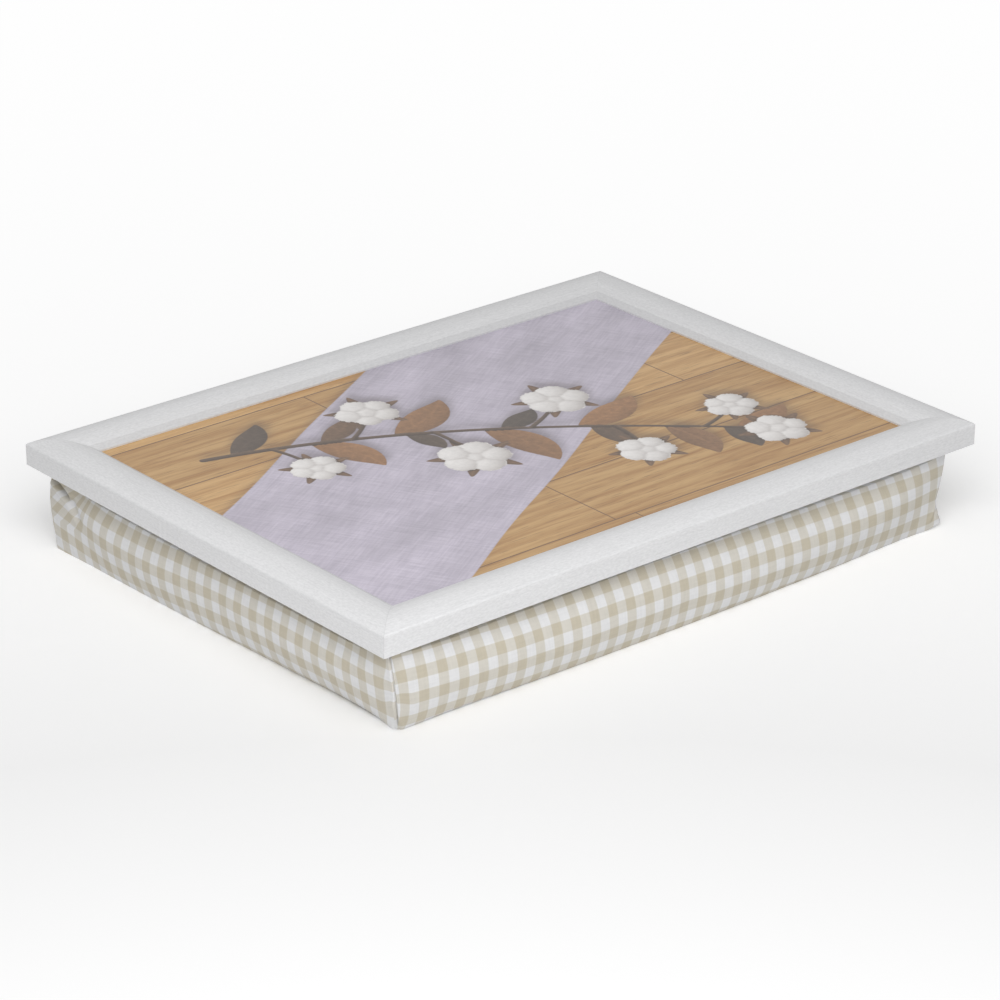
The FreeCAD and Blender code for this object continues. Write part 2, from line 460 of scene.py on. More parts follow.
@dataclass(frozen=True)
class GinghamCotton(Finish):
    """Plain-woven gingham: beige and white yarns cross, so squares are beige, half-toned or white."""

    beige: str = "#C1B9A7"
    beige_white: str = "#CFCBC2"
    white: str = "#DEDEDF"
    edge: float = 0.025
    threads: float = 22.0
    relief: float = 0.12 * MM
    seam_dark: float = 0.48

    def material(self) -> bpy.types.Material:
        """Reads the cloth's flat coordinates, counted in repeats, and paints shade at the seams and closed
        folds.

        Returns:
            The material.
        """
        material, tree = self.start()
        cloth = add(tree, "UVMap", uv_map="cloth")
        axes = add(tree, "SeparateXYZ", {0: cloth}).node
        stripes = []
        for axis in ("X", "Y"):
            share = maths(tree, "FRACT", axes.outputs[axis])
            centred = maths(tree, "SUBTRACT", share, 0.5)
            folded = maths(tree, "ABSOLUTE", centred)
            edges = 0.25 - self.edge, 0.25 + self.edge
            stripes.append(ranged(tree, folded, *edges, interpolation_type="SMOOTHSTEP"))
        one = mix(tree, stripes[0], self.white, self.beige_white)
        two = mix(tree, stripes[0], self.beige_white, self.beige)
        colour = mix(tree, stripes[1], one, two)
        slubs = noise(tree, cloth, (9.0, 1.3, 1.0), 3.0)
        yarns = noise(tree, cloth, (1.3, 9.0, 1.0), 3.0)
        uneven = maths(tree, "ADD", slubs, yarns)
        tone = ranged(tree, uneven, 0.7, 1.3, to_low=0.955, to_high=1.035)
        # A sewn valley or a closed fold is only 0.3 mm wide, so its shadow is drawn as a broader line.
        seam = add(tree, "Attribute", out="Fac", attribute_name="seam")
        dark = ranged(tree, seam, to_low=1.0, to_high=1 - self.seam_dark)
        tone = maths(tree, "MULTIPLY", tone, dark)
        colour = scaled(tree, colour, tone)
        # Real yarns lie about 0.3 mm apart. They are drawn twice as coarse, so that the weave shows.
        waves = []
        for axis in ("X", "Y"):
            pitch = 2 * math.pi * self.threads
            turns = maths(tree, "MULTIPLY", axes.outputs[axis], pitch)
            waves.append(maths(tree, "SINE", turns))
        weave = maths(tree, "MULTIPLY", waves[0], waves[1])
        height = maths(tree, "MULTIPLY_ADD", weave, 0.35, uneven)
        return self.close(material, colour, height, 0.6)


@dataclass(frozen=True)
class PlainCloth(Finish):
    """Undyed plain-woven or non-woven cloth: matt and slightly flecked, with a fine even weave."""

    pale: str = "#E6DFCF"
    fleck: str = "#D3C8B2"
    fleck_size: float = 7 * MM
    thread: float = 0.8 * MM
    relief: float = 0.1 * MM

    def material(self) -> bpy.types.Material:
        """Crossed fine waves make the weave, and soft noise makes the flecks.

        Returns:
            The material.
        """
        material, tree = self.start()
        place = add(tree, "TexCoord", out="Object")
        # Real threads are about 0.35 mm apart, and are drawn at twice that to show.
        turns = scaled(tree, place, 2 * math.pi / self.thread)
        axes = add(tree, "SeparateXYZ", {0: turns}).node
        waves = [maths(tree, "SINE", axes.outputs[axis]) for axis in ("X", "Y")]
        weave = maths(tree, "MULTIPLY", waves[0], waves[1])
        flecks = noise(tree, place, 1 / self.fleck_size, 6.0, 0.7)
        share = ranged(tree, flecks, 0.45, 0.75)
        colour = mix(tree, share, self.pale, self.fleck)
        height = maths(tree, "MULTIPLY_ADD", weave, 0.4, flecks)
        return self.close(material, colour, height, 0.6)


@dataclass(frozen=True)
class FasteningTape(Finish):
    """Woven nylon fastening tape: smooth selvedges beside a field of hooks or brushed loops."""

    pile: Pile = Pile.LOOP
    pale: str = "#E9E6DF"
    shade: str = "#C9C4B8"
    hook_pitch: float = 2.0 * MM
    tuft: float = 1.3 * MM
    relief: float = 0.5 * MM

    def material(self) -> bpy.types.Material:
        """Hooks stand in rows, and loops lie as a tangled fleece.

        Returns:
            The material.
        """
        material, tree = self.start()
        place = add(tree, "TexCoord", out="Object")
        if self.pile is Pile.HOOK:
            field_height = add(tree, "TexVoronoi", {
                "Vector": place, "Scale": 1 / self.hook_pitch, "Randomness": 0.25,
            })
        else:
            field_height = noise(tree, place, 1 / self.tuft, 4.0, 0.7, 1.6)
        share = ranged(tree, field_height, 0.2, 0.75)
        colour = mix(tree, share, self.pale, self.shade)
        return self.close(material, colour, field_height, 0.8, invert=True)


@dataclass(frozen=True)
class FlecksAndGrit(Finish):
    """A mottled surface of two colours with fine relief, such as pressed hardboard, foam or steel sheet."""

    light: str = "#8E6A45"
    dark: str = "#65482C"
    fleck: float = 1.6 * MM
    stretch: tuple[float, float, float] = (1.0, 1.0, 1.0)
    relief: float = 0.1 * MM

    def material(self) -> bpy.types.Material:
        """One noise of several octaves mixes the colours and raises the surface.

        Returns:
            The material.
        """
        material, tree = self.start()
        place = add(tree, "TexCoord", out="Object")
        stretched = add(tree, "Mapping", {"Vector": place, "Scale": self.stretch})
        flecks = noise(tree, stretched, 1 / self.fleck, 5.0, 0.65)
        share = ranged(tree, flecks, 0.35, 0.7)
        colour = mix(tree, share, self.light, self.dark)
        return self.close(material, colour, flecks, 0.5)


@dataclass(frozen=True)
class PrintedLaminate(Finish):
    """Melamine laminate over printed paper: a satin, faintly hazy photograph-like print."""

    oak: str = "#CFA873"
    oak_dark: str = "#AC7F4C"
    oak_pore: str = "#7E5C3A"
    joint: str = "#75593F"
    linen: str = "#C6BFCC"
    linen_shade: str = "#B2ABB9"
    leaf_dark: str = "#4D4640"
    leaf_russet: str = "#9B7350"
    lint: str = "#F0EDEB"
    lint_shade: str = "#A79F9B"
    shadow: str = "#4A3D38"
    oak_grain: tuple[float, float] = mm(90, 5)
    oak_pores: tuple[float, float] = mm(16, 0.9)
    board_spread: float = 40.0
    board_width: float = 61 * MM
    joint_line: float = 0.5 * MM
    board_length: float = 330 * MM
    runner_turn: float = 0.0
    thread: float = 1.5 * MM
    slub: float = 18 * MM
    hem: float = 9 * MM
    hem_line: float = 0.45 * MM
    crisp: float = 0.35 * MM
    fibre: float = 3 * MM
    grit: float = 0.9 * MM
    relief: float = 0.03 * MM

    def material(self) -> bpy.types.Material:
        """Oak boards, the linen, the sprig's shadow, leaves, twigs and bolls, each over the last.

        Returns:
            The material.
        """
        material, tree = self.start()
        place = add(tree, "TexCoord", out="Object")
        layers = add(tree, "Attribute", out="Color", attribute_name="layers").node
        tones = add(tree, "Attribute", out="Color", attribute_name="tones").node
        layer = add(tree, "SeparateColor", {0: layers.outputs["Color"]}).node.outputs
        tone = add(tree, "SeparateColor", {0: tones.outputs["Color"]}).node.outputs
        linen = self.linen_cloth(tree, place, layer, tone)
        ground = self.over(tree, layer["Red"], self.oak_boards(tree, place), linen)
        ground = mix(tree, tone["Green"], self.shadow, ground)
        fibres = noise(tree, place, 1 / self.fibre, 5.0, 0.65)
        leaf = mix(tree, layers.outputs["Alpha"], self.leaf_dark, self.leaf_russet)
        leaf = self.shaded(tree, leaf, tone["Red"], fibres)
        picture = self.over(tree, layer["Green"], ground, leaf)
        lint = mix(tree, tone["Red"], self.lint_shade, self.lint)
        fluff = ranged(tree, fibres, 0.35, 0.65, to_low=0.93, to_high=1.03)
        lint = scaled(tree, lint, fluff)
        fuzzy = ranged(tree, fibres, 0.3, 0.7, to_low=-0.08, to_high=0.08)
        boll_edge = maths(tree, "ADD", layer["Blue"], fuzzy)
        picture = self.over(tree, boll_edge, picture, lint)
        return self.close(material, picture, noise(tree, place, 1 / self.grit), 0.12)

    def over(self, tree: Tree, edge: Socket, below: Socket,
             above: Socket) -> Socket:
        """Lays one colour over another inside an outline.

        Args:
            tree: The material's node tree.
            edge: Depth inside the outline as a share of PRINT_REACH, negative outside.
            below: The colour outside.
            above: The colour inside.

        Returns:
            The laid colour.
        """
        inside = ranged(tree, edge, -self.crisp / PRINT_REACH, self.crisp / PRINT_REACH)
        return mix(tree, inside, below, above)

    def shaded(self, tree: Tree, colour: Socket, tone: Socket,
               fibres: Socket) -> Socket:
        """Multiplies a colour by a tone and by fine uneven fibres.

        Args:
            tree: The material's node tree.
            colour: The colour.
            tone: Its light, about one.
            fibres: Noise from 0 to 1.

        Returns:
            The shaded colour.
        """
        uneven = ranged(tree, fibres, 0.3, 0.7, to_low=0.8, to_high=1.15)
        light = maths(tree, "MULTIPLY", tone, uneven)
        return scaled(tree, colour, light)

    def oak_boards(self, tree: Tree, place: Socket) -> Socket:
        """Oak boards along X: each has its own tone, long grain, short pores and dark joints.

        Args:
            tree: The material's node tree.
            place: Object coordinates.

        Returns:
            The boards' colour.
        """
        axes = add(tree, "SeparateXYZ", {0: place}).node.outputs
        across = maths(tree, "DIVIDE", axes["Y"], self.board_width)
        number = maths(tree, "FLOOR", across)
        own = add(tree, "TexWhiteNoise", {"W": number}, noise_dimensions="1D")
        shifted = maths(tree, "MULTIPLY_ADD", own, self.board_length, axes["X"])
        board = add(tree, "CombineXYZ", {0: shifted, 1: axes["Y"], 2: own})
        grain_scale, pore_scale = (
            (1 / length, 1 / width, self.board_spread) for length, width in (self.oak_grain, self.oak_pores)
        )
        grain = noise(tree, board, grain_scale, 4.0, 0.6, 0.5)
        pores = noise(tree, board, pore_scale)
        grain_share = ranged(tree, grain, 0.38, 0.68)
        wood = mix(tree, grain_share, self.oak, self.oak_dark)
        pore_share = ranged(tree, pores, 0.58, 0.72, to_high=0.6)
        wood = mix(tree, pore_share, wood, self.oak_pore)
        light = ranged(tree, own, to_low=0.84, to_high=1.1)
        wood = scaled(tree, wood, light)
        line = self.joint_line / self.board_width
        lengthways = maths(tree, "FRACT", maths(tree, "ADD", across, line))
        ends = maths(tree, "FRACT", maths(tree, "DIVIDE", shifted, self.board_length))
        rows = maths(tree, "LESS_THAN", lengthways, 2 * line)
        butts = maths(tree, "LESS_THAN", ends, 1.6 * self.joint_line / self.board_length)
        joints = maths(tree, "MAXIMUM", rows, butts)
        return mix(tree, joints, wood, self.joint)

    def linen_cloth(self, tree: Tree, place: Socket,
                    layer: bpy.types.bpy_prop_collection,
                    tone: bpy.types.bpy_prop_collection) -> Socket:
        """Lilac-grey linen with a slubby weave along its own edges, soft folds and a stitched hem.

        Args:
            tree: The material's node tree.
            place: Object coordinates.
            layer: The outlines' channels; red is the depth inside the linen's edge.
            tone: The tones' channels; blue is the light on the folds.

        Returns:
            The linen's colour.
        """
        turned = add(tree, "Mapping", {"Vector": place, "Rotation": (0.0, 0.0, -self.runner_turn)})
        along, across = 1 / self.slub, 1 / self.thread
        slubs = [noise(tree, turned, scale, 3.0) for scale in ((along, across, 1.0), (across, along, 1.0))]
        weave = maths(tree, "ADD", slubs[0], slubs[1])
        share = ranged(tree, weave, 0.75, 1.3)
        cloth = mix(tree, share, self.linen, self.linen_shade)
        cloth = scaled(tree, cloth, tone["Blue"])
        seam = maths(tree, "COMPARE", layer["Red"], self.hem / PRINT_REACH, self.hem_line / PRINT_REACH)
        seam = maths(tree, "MULTIPLY", seam, 0.45)
        return mix(tree, seam, cloth, self.linen_shade)


@dataclass
class SprigPrint:
    """The printed sheet: a cotton sprig on a linen runner that lies askew on oak boards.

    The picture is worked out at the vertices of a fine grid, as depths inside each outline and as tones.
    """

    cell: float = 1.15 * MM
    runner_turn: float = math.radians(31)
    runner_middle: float = 34 * MM
    runner_half: float = 76 * MM
    stem: tuple[tuple[float, float], ...] = (mm(-148, 84), mm(-10, 50), mm(128, -84))
    stem_radius: tuple[float, float] = mm(2.3, 1.2)
    twig_radius: tuple[float, float] = mm(1.6, 1.1)
    bolls: tuple[tuple[float, float, float], ...] = (
        (0.14, -34, 15), (0.30, 36, 17), (0.45, -38, 19), (0.62, 40, 18), (0.76, -34, 16), (0.90, 32, 15),
        (1.0, 0, 17),
    )
    leaves: tuple[tuple[float, float, float, float], ...] = (
        (0.06, 46, 9, 0.1), (0.22, -52, 11, 0.9), (0.24, 40, 8, 0.35), (0.38, 58, 12, 0.8),
        (0.40, -30, 7, 0.1), (0.54, -60, 12, 0.75), (0.57, 34, 8, 0.05), (0.70, 56, 11, 0.95),
        (0.72, -36, 8, 0.2), (0.84, -48, 10, 0.65), (0.93, -34, 8, 0.1), (0.95, 44, 9, 0.85),
    )
    lobes: int = 5
    bracts: int = 5
    bract_length: float = 1.5
    bract_width: float = 0.36
    bract_hue: float = 0.35
    twig_hue: float = 0.18
    lap: float = 0.6 * MM
    boll_lap: float = 1.2 * MM
    leaf_vein: float = 0.5 * MM
    bract_vein: float = 0.6 * MM
    light: tuple[float, float, float] = (-0.45, 0.5, 0.74)
    shadow_cells: tuple[int, int] = (-4, 4)
    shadow_edge: float = 1.5 * MM
    sprig_shadow: tuple[float, float] = (2.6, 0.55)
    linen_shadow: tuple[float, float] = (2.0, 0.45)
    shadow_limit: float = 0.75
    hem_wave: float = 0.8 * MM
    hem_wavelength: float = 90 * MM
    linen_folds: tuple[tuple[float, float, float], ...] = ((0.07, 5, 26), (0.03, 3, 9))
    seed: int = 23

    def build(self, finish: PrintedLaminate) -> bpy.types.Object:
        """Makes the sheet as a closed panel with a fine top, in the place of its node.

        Args:
            finish: The laminate.

        Returns:
            The sheet.
        """
        low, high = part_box("printed_sheet")
        columns = round((high.x - low.x) / self.cell)
        rows = round((high.y - low.y) / self.cell)
        x, y = np.meshgrid(np.linspace(low.x, high.x, columns + 1), np.linspace(high.y, low.y, rows + 1))
        top = np.stack([x, y, np.full(x.shape, high.z)], -1)
        ids = numbered(x)
        ring = np.concatenate([ids[0, :-1], ids[:-1, -1], ids[-1, :0:-1], ids[:0:-1, 0]])
        under = top.reshape(-1, 3)[ring] * (1, 1, 0) + (0, 0, low.z)
        under_ids = x.size + np.arange(len(ring))
        skirt = np.stack([ring, np.roll(ring, -1), np.roll(under_ids, -1), under_ids], -1)
        faces = [*grid_quads(ids).tolist(), *skirt.tolist(), under_ids.tolist()]
        layers, tones = self.picture(x, y)
        spread = np.concatenate([np.arange(x.size), ring])
        sheet = make_piece(
            "printed_sheet_face", np.concatenate([top.reshape(-1, 3), under]), faces, Body.TRAY,
            finish.material(),
            colours={"layers": layers.reshape(-1, 4)[spread], "tones": tones.reshape(-1, 4)[spread]},
        )
        sheet.data.polygons.foreach_set("use_smooth", np.zeros(len(sheet.data.polygons), bool))
        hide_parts("printed_sheet")
        return sheet

    def picture(self, x: np.ndarray, y: np.ndarray) -> tuple[np.ndarray, np.ndarray]:
        """Works out the outlines and tones.

        Args:
            x: Each vertex's x.
            y: Each vertex's y.

        Returns:
            Layers (linen, leaf and twig, boll, leaf hue) and tones (sprig light, shadow, linen light, zero).
        """
        across = -x * math.sin(self.runner_turn) + y * math.cos(self.runner_turn) - self.runner_middle
        along = x * math.cos(self.runner_turn) + y * math.sin(self.runner_turn)
        edge_wave = self.hem_wave * ripple(along, along * 0, self.hem_wavelength, self.seed)
        linen = self.runner_half + edge_wave - np.abs(across)
        plant, hue, light = self.twigs_and_leaves(x, y)
        boll, boll_light = self.lint(x, y)
        light = np.where(boll > -self.boll_lap, boll_light, light)
        solid = np.maximum(plant, boll)
        cast = self.cast(solid, *self.sprig_shadow)
        fallen = self.cast(linen, *self.linen_shadow) * (linen < 0)
        folds = np.ones(x.shape)
        for number, (depth, stretch, wave) in enumerate(self.linen_folds, 1):
            folds = folds + depth * ripple(along / stretch, across, wave * MM, self.seed + number)
        layers = np.stack([linen, plant, boll], -1) / PRINT_REACH
        layers = np.concatenate([np.clip(layers, -1, 1), hue[..., None]], -1)
        lit = 1 - np.clip(cast + fallen, 0, self.shadow_limit)
        tones = np.stack([light, lit, folds, np.zeros_like(x)], -1)
        return layers, tones

    def cast(self, depth: np.ndarray, blur: float, dark: float) -> np.ndarray:
        """The shadow of a shape: its filled outline, moved aside, blurred and weakened."""
        filled = smoothstep(depth, -self.shadow_edge, self.shadow_edge)
        return self.soften(np.roll(filled, self.shadow_cells, (0, 1)), blur) * dark

    def soften(self, values: np.ndarray, cells: float) -> np.ndarray:
        """Blurs a grid with a Gaussian, through its Fourier transform.

        Args:
            values: The grid.
            cells: The Gaussian's standard deviation, in cells.

        Returns:
            The blurred grid.
        """
        fy = np.fft.fftfreq(values.shape[0])[:, None]
        fx = np.fft.rfftfreq(values.shape[1])[None, :]
        gauss = np.exp(-2 * (np.pi * cells) ** 2 * (fx ** 2 + fy ** 2))
        return np.fft.irfft2(np.fft.rfft2(values) * gauss, values.shape)

    def stroke(self, x: np.ndarray, y: np.ndarray, start: np.ndarray, bend: np.ndarray, end: np.ndarray,
               steps: int = 12) -> tuple[np.ndarray, np.ndarray, np.ndarray]:
        """Measures every vertex against a quadratic Bezier line, cut into short straight steps.

        Args:
            x: Each vertex's x.
            y: Each vertex's y.
            start: Where the line starts.
            bend: Its control point.
            end: Where it ends.
            steps: How many steps it is cut into.

        Returns:
            Distance from the line, share along it, and signed distance (positive on its left).
        """
        t = np.linspace(0, 1, steps + 1)[:, None]
        line = (1 - t) ** 2 * start + 2 * t * (1 - t) * bend + t ** 2 * end
        nearest = np.full(x.shape, np.inf)
        share = np.zeros(x.shape)
        signed = np.zeros(x.shape)
        for step, (first, last) in enumerate(zip(line[:-1], line[1:])):
            run = last - first
            part = np.clip(((x - first[0]) * run[0] + (y - first[1]) * run[1]) / (run @ run), 0, 1)
            dx, dy = x - first[0] - part * run[0], y - first[1] - part * run[1]
            distance = np.hypot(dx, dy)
            closer = distance < nearest
            nearest = np.where(closer, distance, nearest)
            share = np.where(closer, (step + part) / steps, share)
            signed = np.where(closer, np.sign(run[0] * dy - run[1] * dx) * distance, signed)
        return nearest, share, signed

    def stem_point(self, share: float) -> tuple[np.ndarray, np.ndarray, np.ndarray]:
        """Reads the stem's quadratic Bezier line.

        Args:
            share: How far along it, from 0 to 1.

        Returns:
            The point, the direction and the left-hand normal.
        """
        start, bend, end = (np.array(point) for point in self.stem)
        point = (1 - share) ** 2 * start + 2 * share * (1 - share) * bend + share ** 2 * end
        run = 2 * (1 - share) * (bend - start) + 2 * share * (end - bend)
        run = run / np.hypot(*run)
        return point, run, np.array([-run[1], run[0]])

    def boll_place(self, share: float, reach: float) -> np.ndarray:
        """Where a boll stands beside the stem."""
        point, run, left = self.stem_point(share)
        return point + left * reach * MM + run * (0.35 * abs(reach) + 4) * MM

    def twigs_and_leaves(self, x: np.ndarray, y: np.ndarray) -> tuple[np.ndarray, np.ndarray, np.ndarray]:
        """Draws leaves, dry bracts, stem and twigs, each over the last.

        Args:
            x: Each vertex's x.
            y: Each vertex's y.

        Returns:
            Depth inside them, their hue from dark to russet, and their light.
        """
        depth = np.full(x.shape, -PRINT_REACH)
        hue = np.zeros(x.shape)
        light = np.ones(x.shape)

        def lay(shape: np.ndarray, own_hue: float, own_light: np.ndarray) -> None:
            """Lays one shape over the last: where it shows, its hue and light hold."""
            nonlocal depth, hue, light
            shown = shape > -self.lap
            hue = np.where(shown, own_hue, hue)
            light = np.where(shown, own_light, light)
            depth = np.maximum(depth, shape)

        for share, length, width, own_hue in self.leaves:
            point, run, left = self.stem_point(share)
            tip = point + (left * math.copysign(0.8, length) + run * 0.6) * abs(length) * MM
            bend = (point + tip) / 2 + run * 0.22 * abs(length) * MM
            nearest, part, signed = self.stroke(x, y, point, bend, tip)
            half = width * MM * np.sin(np.pi * np.clip(part, 0, 1) ** 0.8) ** 0.9
            ribs = np.sin(part * 34 - np.abs(signed) / MM * 0.55) > 0.9
            vein = bell(signed, self.leaf_vein) + 0.5 * ribs
            cupped = np.sign(signed) * (signed / (width * MM)) ** 2
            lay(half - nearest, own_hue, 0.95 + 0.22 * cupped + 0.2 * vein)
        for share, reach, radius in self.bolls:
            centre = self.boll_place(share, reach)
            for bract in range(self.bracts):
                turn = 2 * np.pi * (bract + 0.3 * share) / self.bracts
                tip = centre + np.array([np.cos(turn), np.sin(turn)]) * radius * self.bract_length * MM
                nearest, part, signed = self.stroke(x, y, centre, (centre + tip) / 2, tip, 2)
                half = radius * self.bract_width * MM * np.clip(1 - part, 0, 1) ** 0.6
                lay(half - nearest, self.bract_hue, 0.9 + 0.5 * bell(signed, self.bract_vein))
        strokes = [(*(np.array(point) for point in self.stem), *self.stem_radius, 28)]
        for share, reach, radius in self.bolls:
            point, run, left = self.stem_point(share)
            centre = self.boll_place(share, reach)
            bend = (point + centre) / 2 + run * 0.12 * abs(reach) * MM
            strokes.append((point, bend, centre, *self.twig_radius, 10))
        for start, bend, end, thick, thin, steps in strokes:
            nearest, part, signed = self.stroke(x, y, start, bend, end, steps)
            round_light = 0.85 + 0.45 * np.clip(signed / thick, -1, 1)
            lay(thick + (thin - thick) * part - nearest, self.twig_hue, round_light)
        return depth, hue, light

    def lint(self, x: np.ndarray, y: np.ndarray) -> tuple[np.ndarray, np.ndarray]:
        """Draws the open bolls: each a ring of round lobes and a middle one, lit as half balls.

        Args:
            x: Each vertex's x.
            y: Each vertex's y.

        Returns:
            Depth inside the bolls, and their light.
        """
        depth = np.full(x.shape, -PRINT_REACH)
        height = np.zeros(x.shape)
        second = np.zeros(x.shape)
        light = np.ones(x.shape)
        draw = np.random.default_rng(self.seed)
        for share, reach, radius in self.bolls:
            centre = self.boll_place(share, reach)
            spin = draw.uniform(0, 2 * np.pi)
            for lobe in range(self.lobes + 1):
                turn = spin + 2 * np.pi * lobe / self.lobes
                out = 0.0 if lobe == self.lobes else 0.56 * radius * draw.uniform(0.9, 1.1)
                ball = radius * draw.uniform(0.5, 0.6) * MM
                dx = x - centre[0] - out * MM * math.cos(turn)
                dy = y - centre[1] - out * MM * math.sin(turn)
                away = np.hypot(dx, dy)
                rise = np.sqrt(np.clip(ball ** 2 - away ** 2, 0, None))
                higher = rise > height
                second = np.where(higher, height, np.maximum(second, rise))
                facing = (dx * self.light[0] + dy * self.light[1] + rise * self.light[2]) / ball
                light = np.where(higher, facing, light)
                height = np.maximum(height, rise)
                depth = np.maximum(depth, ball - away)
        crevice = smoothstep(height - second, -0.3 * MM, 2.4 * MM)
        return depth, np.clip(0.42 + 0.55 * light, 0, 1) * (0.72 + 0.28 * crevice)


@dataclass(frozen=True)
class CornerSeam:
    """One sewn corner: how far it stands in from the frame's outer faces at top, middle and foot."""

    inset_x: tuple[float, float, float]
    inset_y: tuple[float, float, float]
    waist: float = 0.4 * MM
    waist_height: float = 16 * MM
    groove: float = 1.3 * MM
    groove_width: float = 1.3 * MM
    blunting: float = 0.0
    neck: float = 47.6 * MM
    foot_lift: float = 0.0


@dataclass(frozen=True)
class Pull:
    """How far cloth is pulled out of true, in millimetres, as a polynomial.

    x runs from -1 to 1 along the side, and s from -1 at the top seam to about 1 at the foot. Each weight is
    named for its term, so xxs is the weight of x * x * s.
    """

    x: float = 0.0
    xx: float = 0.0
    xxx: float = 0.0
    xxxx: float = 0.0
    s: float = 0.0
    xs: float = 0.0
    ss: float = 0.0
    xxs: float = 0.0
    xss: float = 0.0

    def at(self, x: np.ndarray, s: np.ndarray) -> np.ndarray:
        """The pull at each point, in metres."""
        terms = [weight * x ** term.count("x") * s ** term.count("s") for term, weight in vars(self).items()]
        return sum(terms) * MM


@dataclass(frozen=True)
class ClothLay:
    """How the gingham lies on a side: its phase in repeats, and how its columns and rows are pulled."""

    phase: tuple[float, float] = (0.0, 0.0)
    columns: Pull = Pull(s=0.5)
    rows: Pull = Pull(x=3.0, xx=-2.0)


@dataclass(frozen=True)
class CushionSide:
    """One side of the cushion, which runs from one corner to the next, anticlockwise from above."""

    name: str
    start: int
    end: int
    along: tuple[int, int]
    out: tuple[int, int]
    widest: float
    widest_height: float
    neck: float
    foot: tuple[float, float]
    foot_bow: float
    lean_power: float = 2.1
    lay: ClothLay = ClothLay()
    ear_reach: tuple[float, float] = mm(13, 13)


@dataclass(frozen=True)
class Crease:
    """A fold pressed into one side, along a line from one corner: distance from the corner and height."""

    side: int
    from_end: bool
    first: tuple[float, float]
    last: tuple[float, float]
    depth: float
    width: float
    lift: float = 0.0
    lift_side: int = 1
    # How much painted shade is drawn in the fold's valley, where it closes.
    closes: float = 0.0


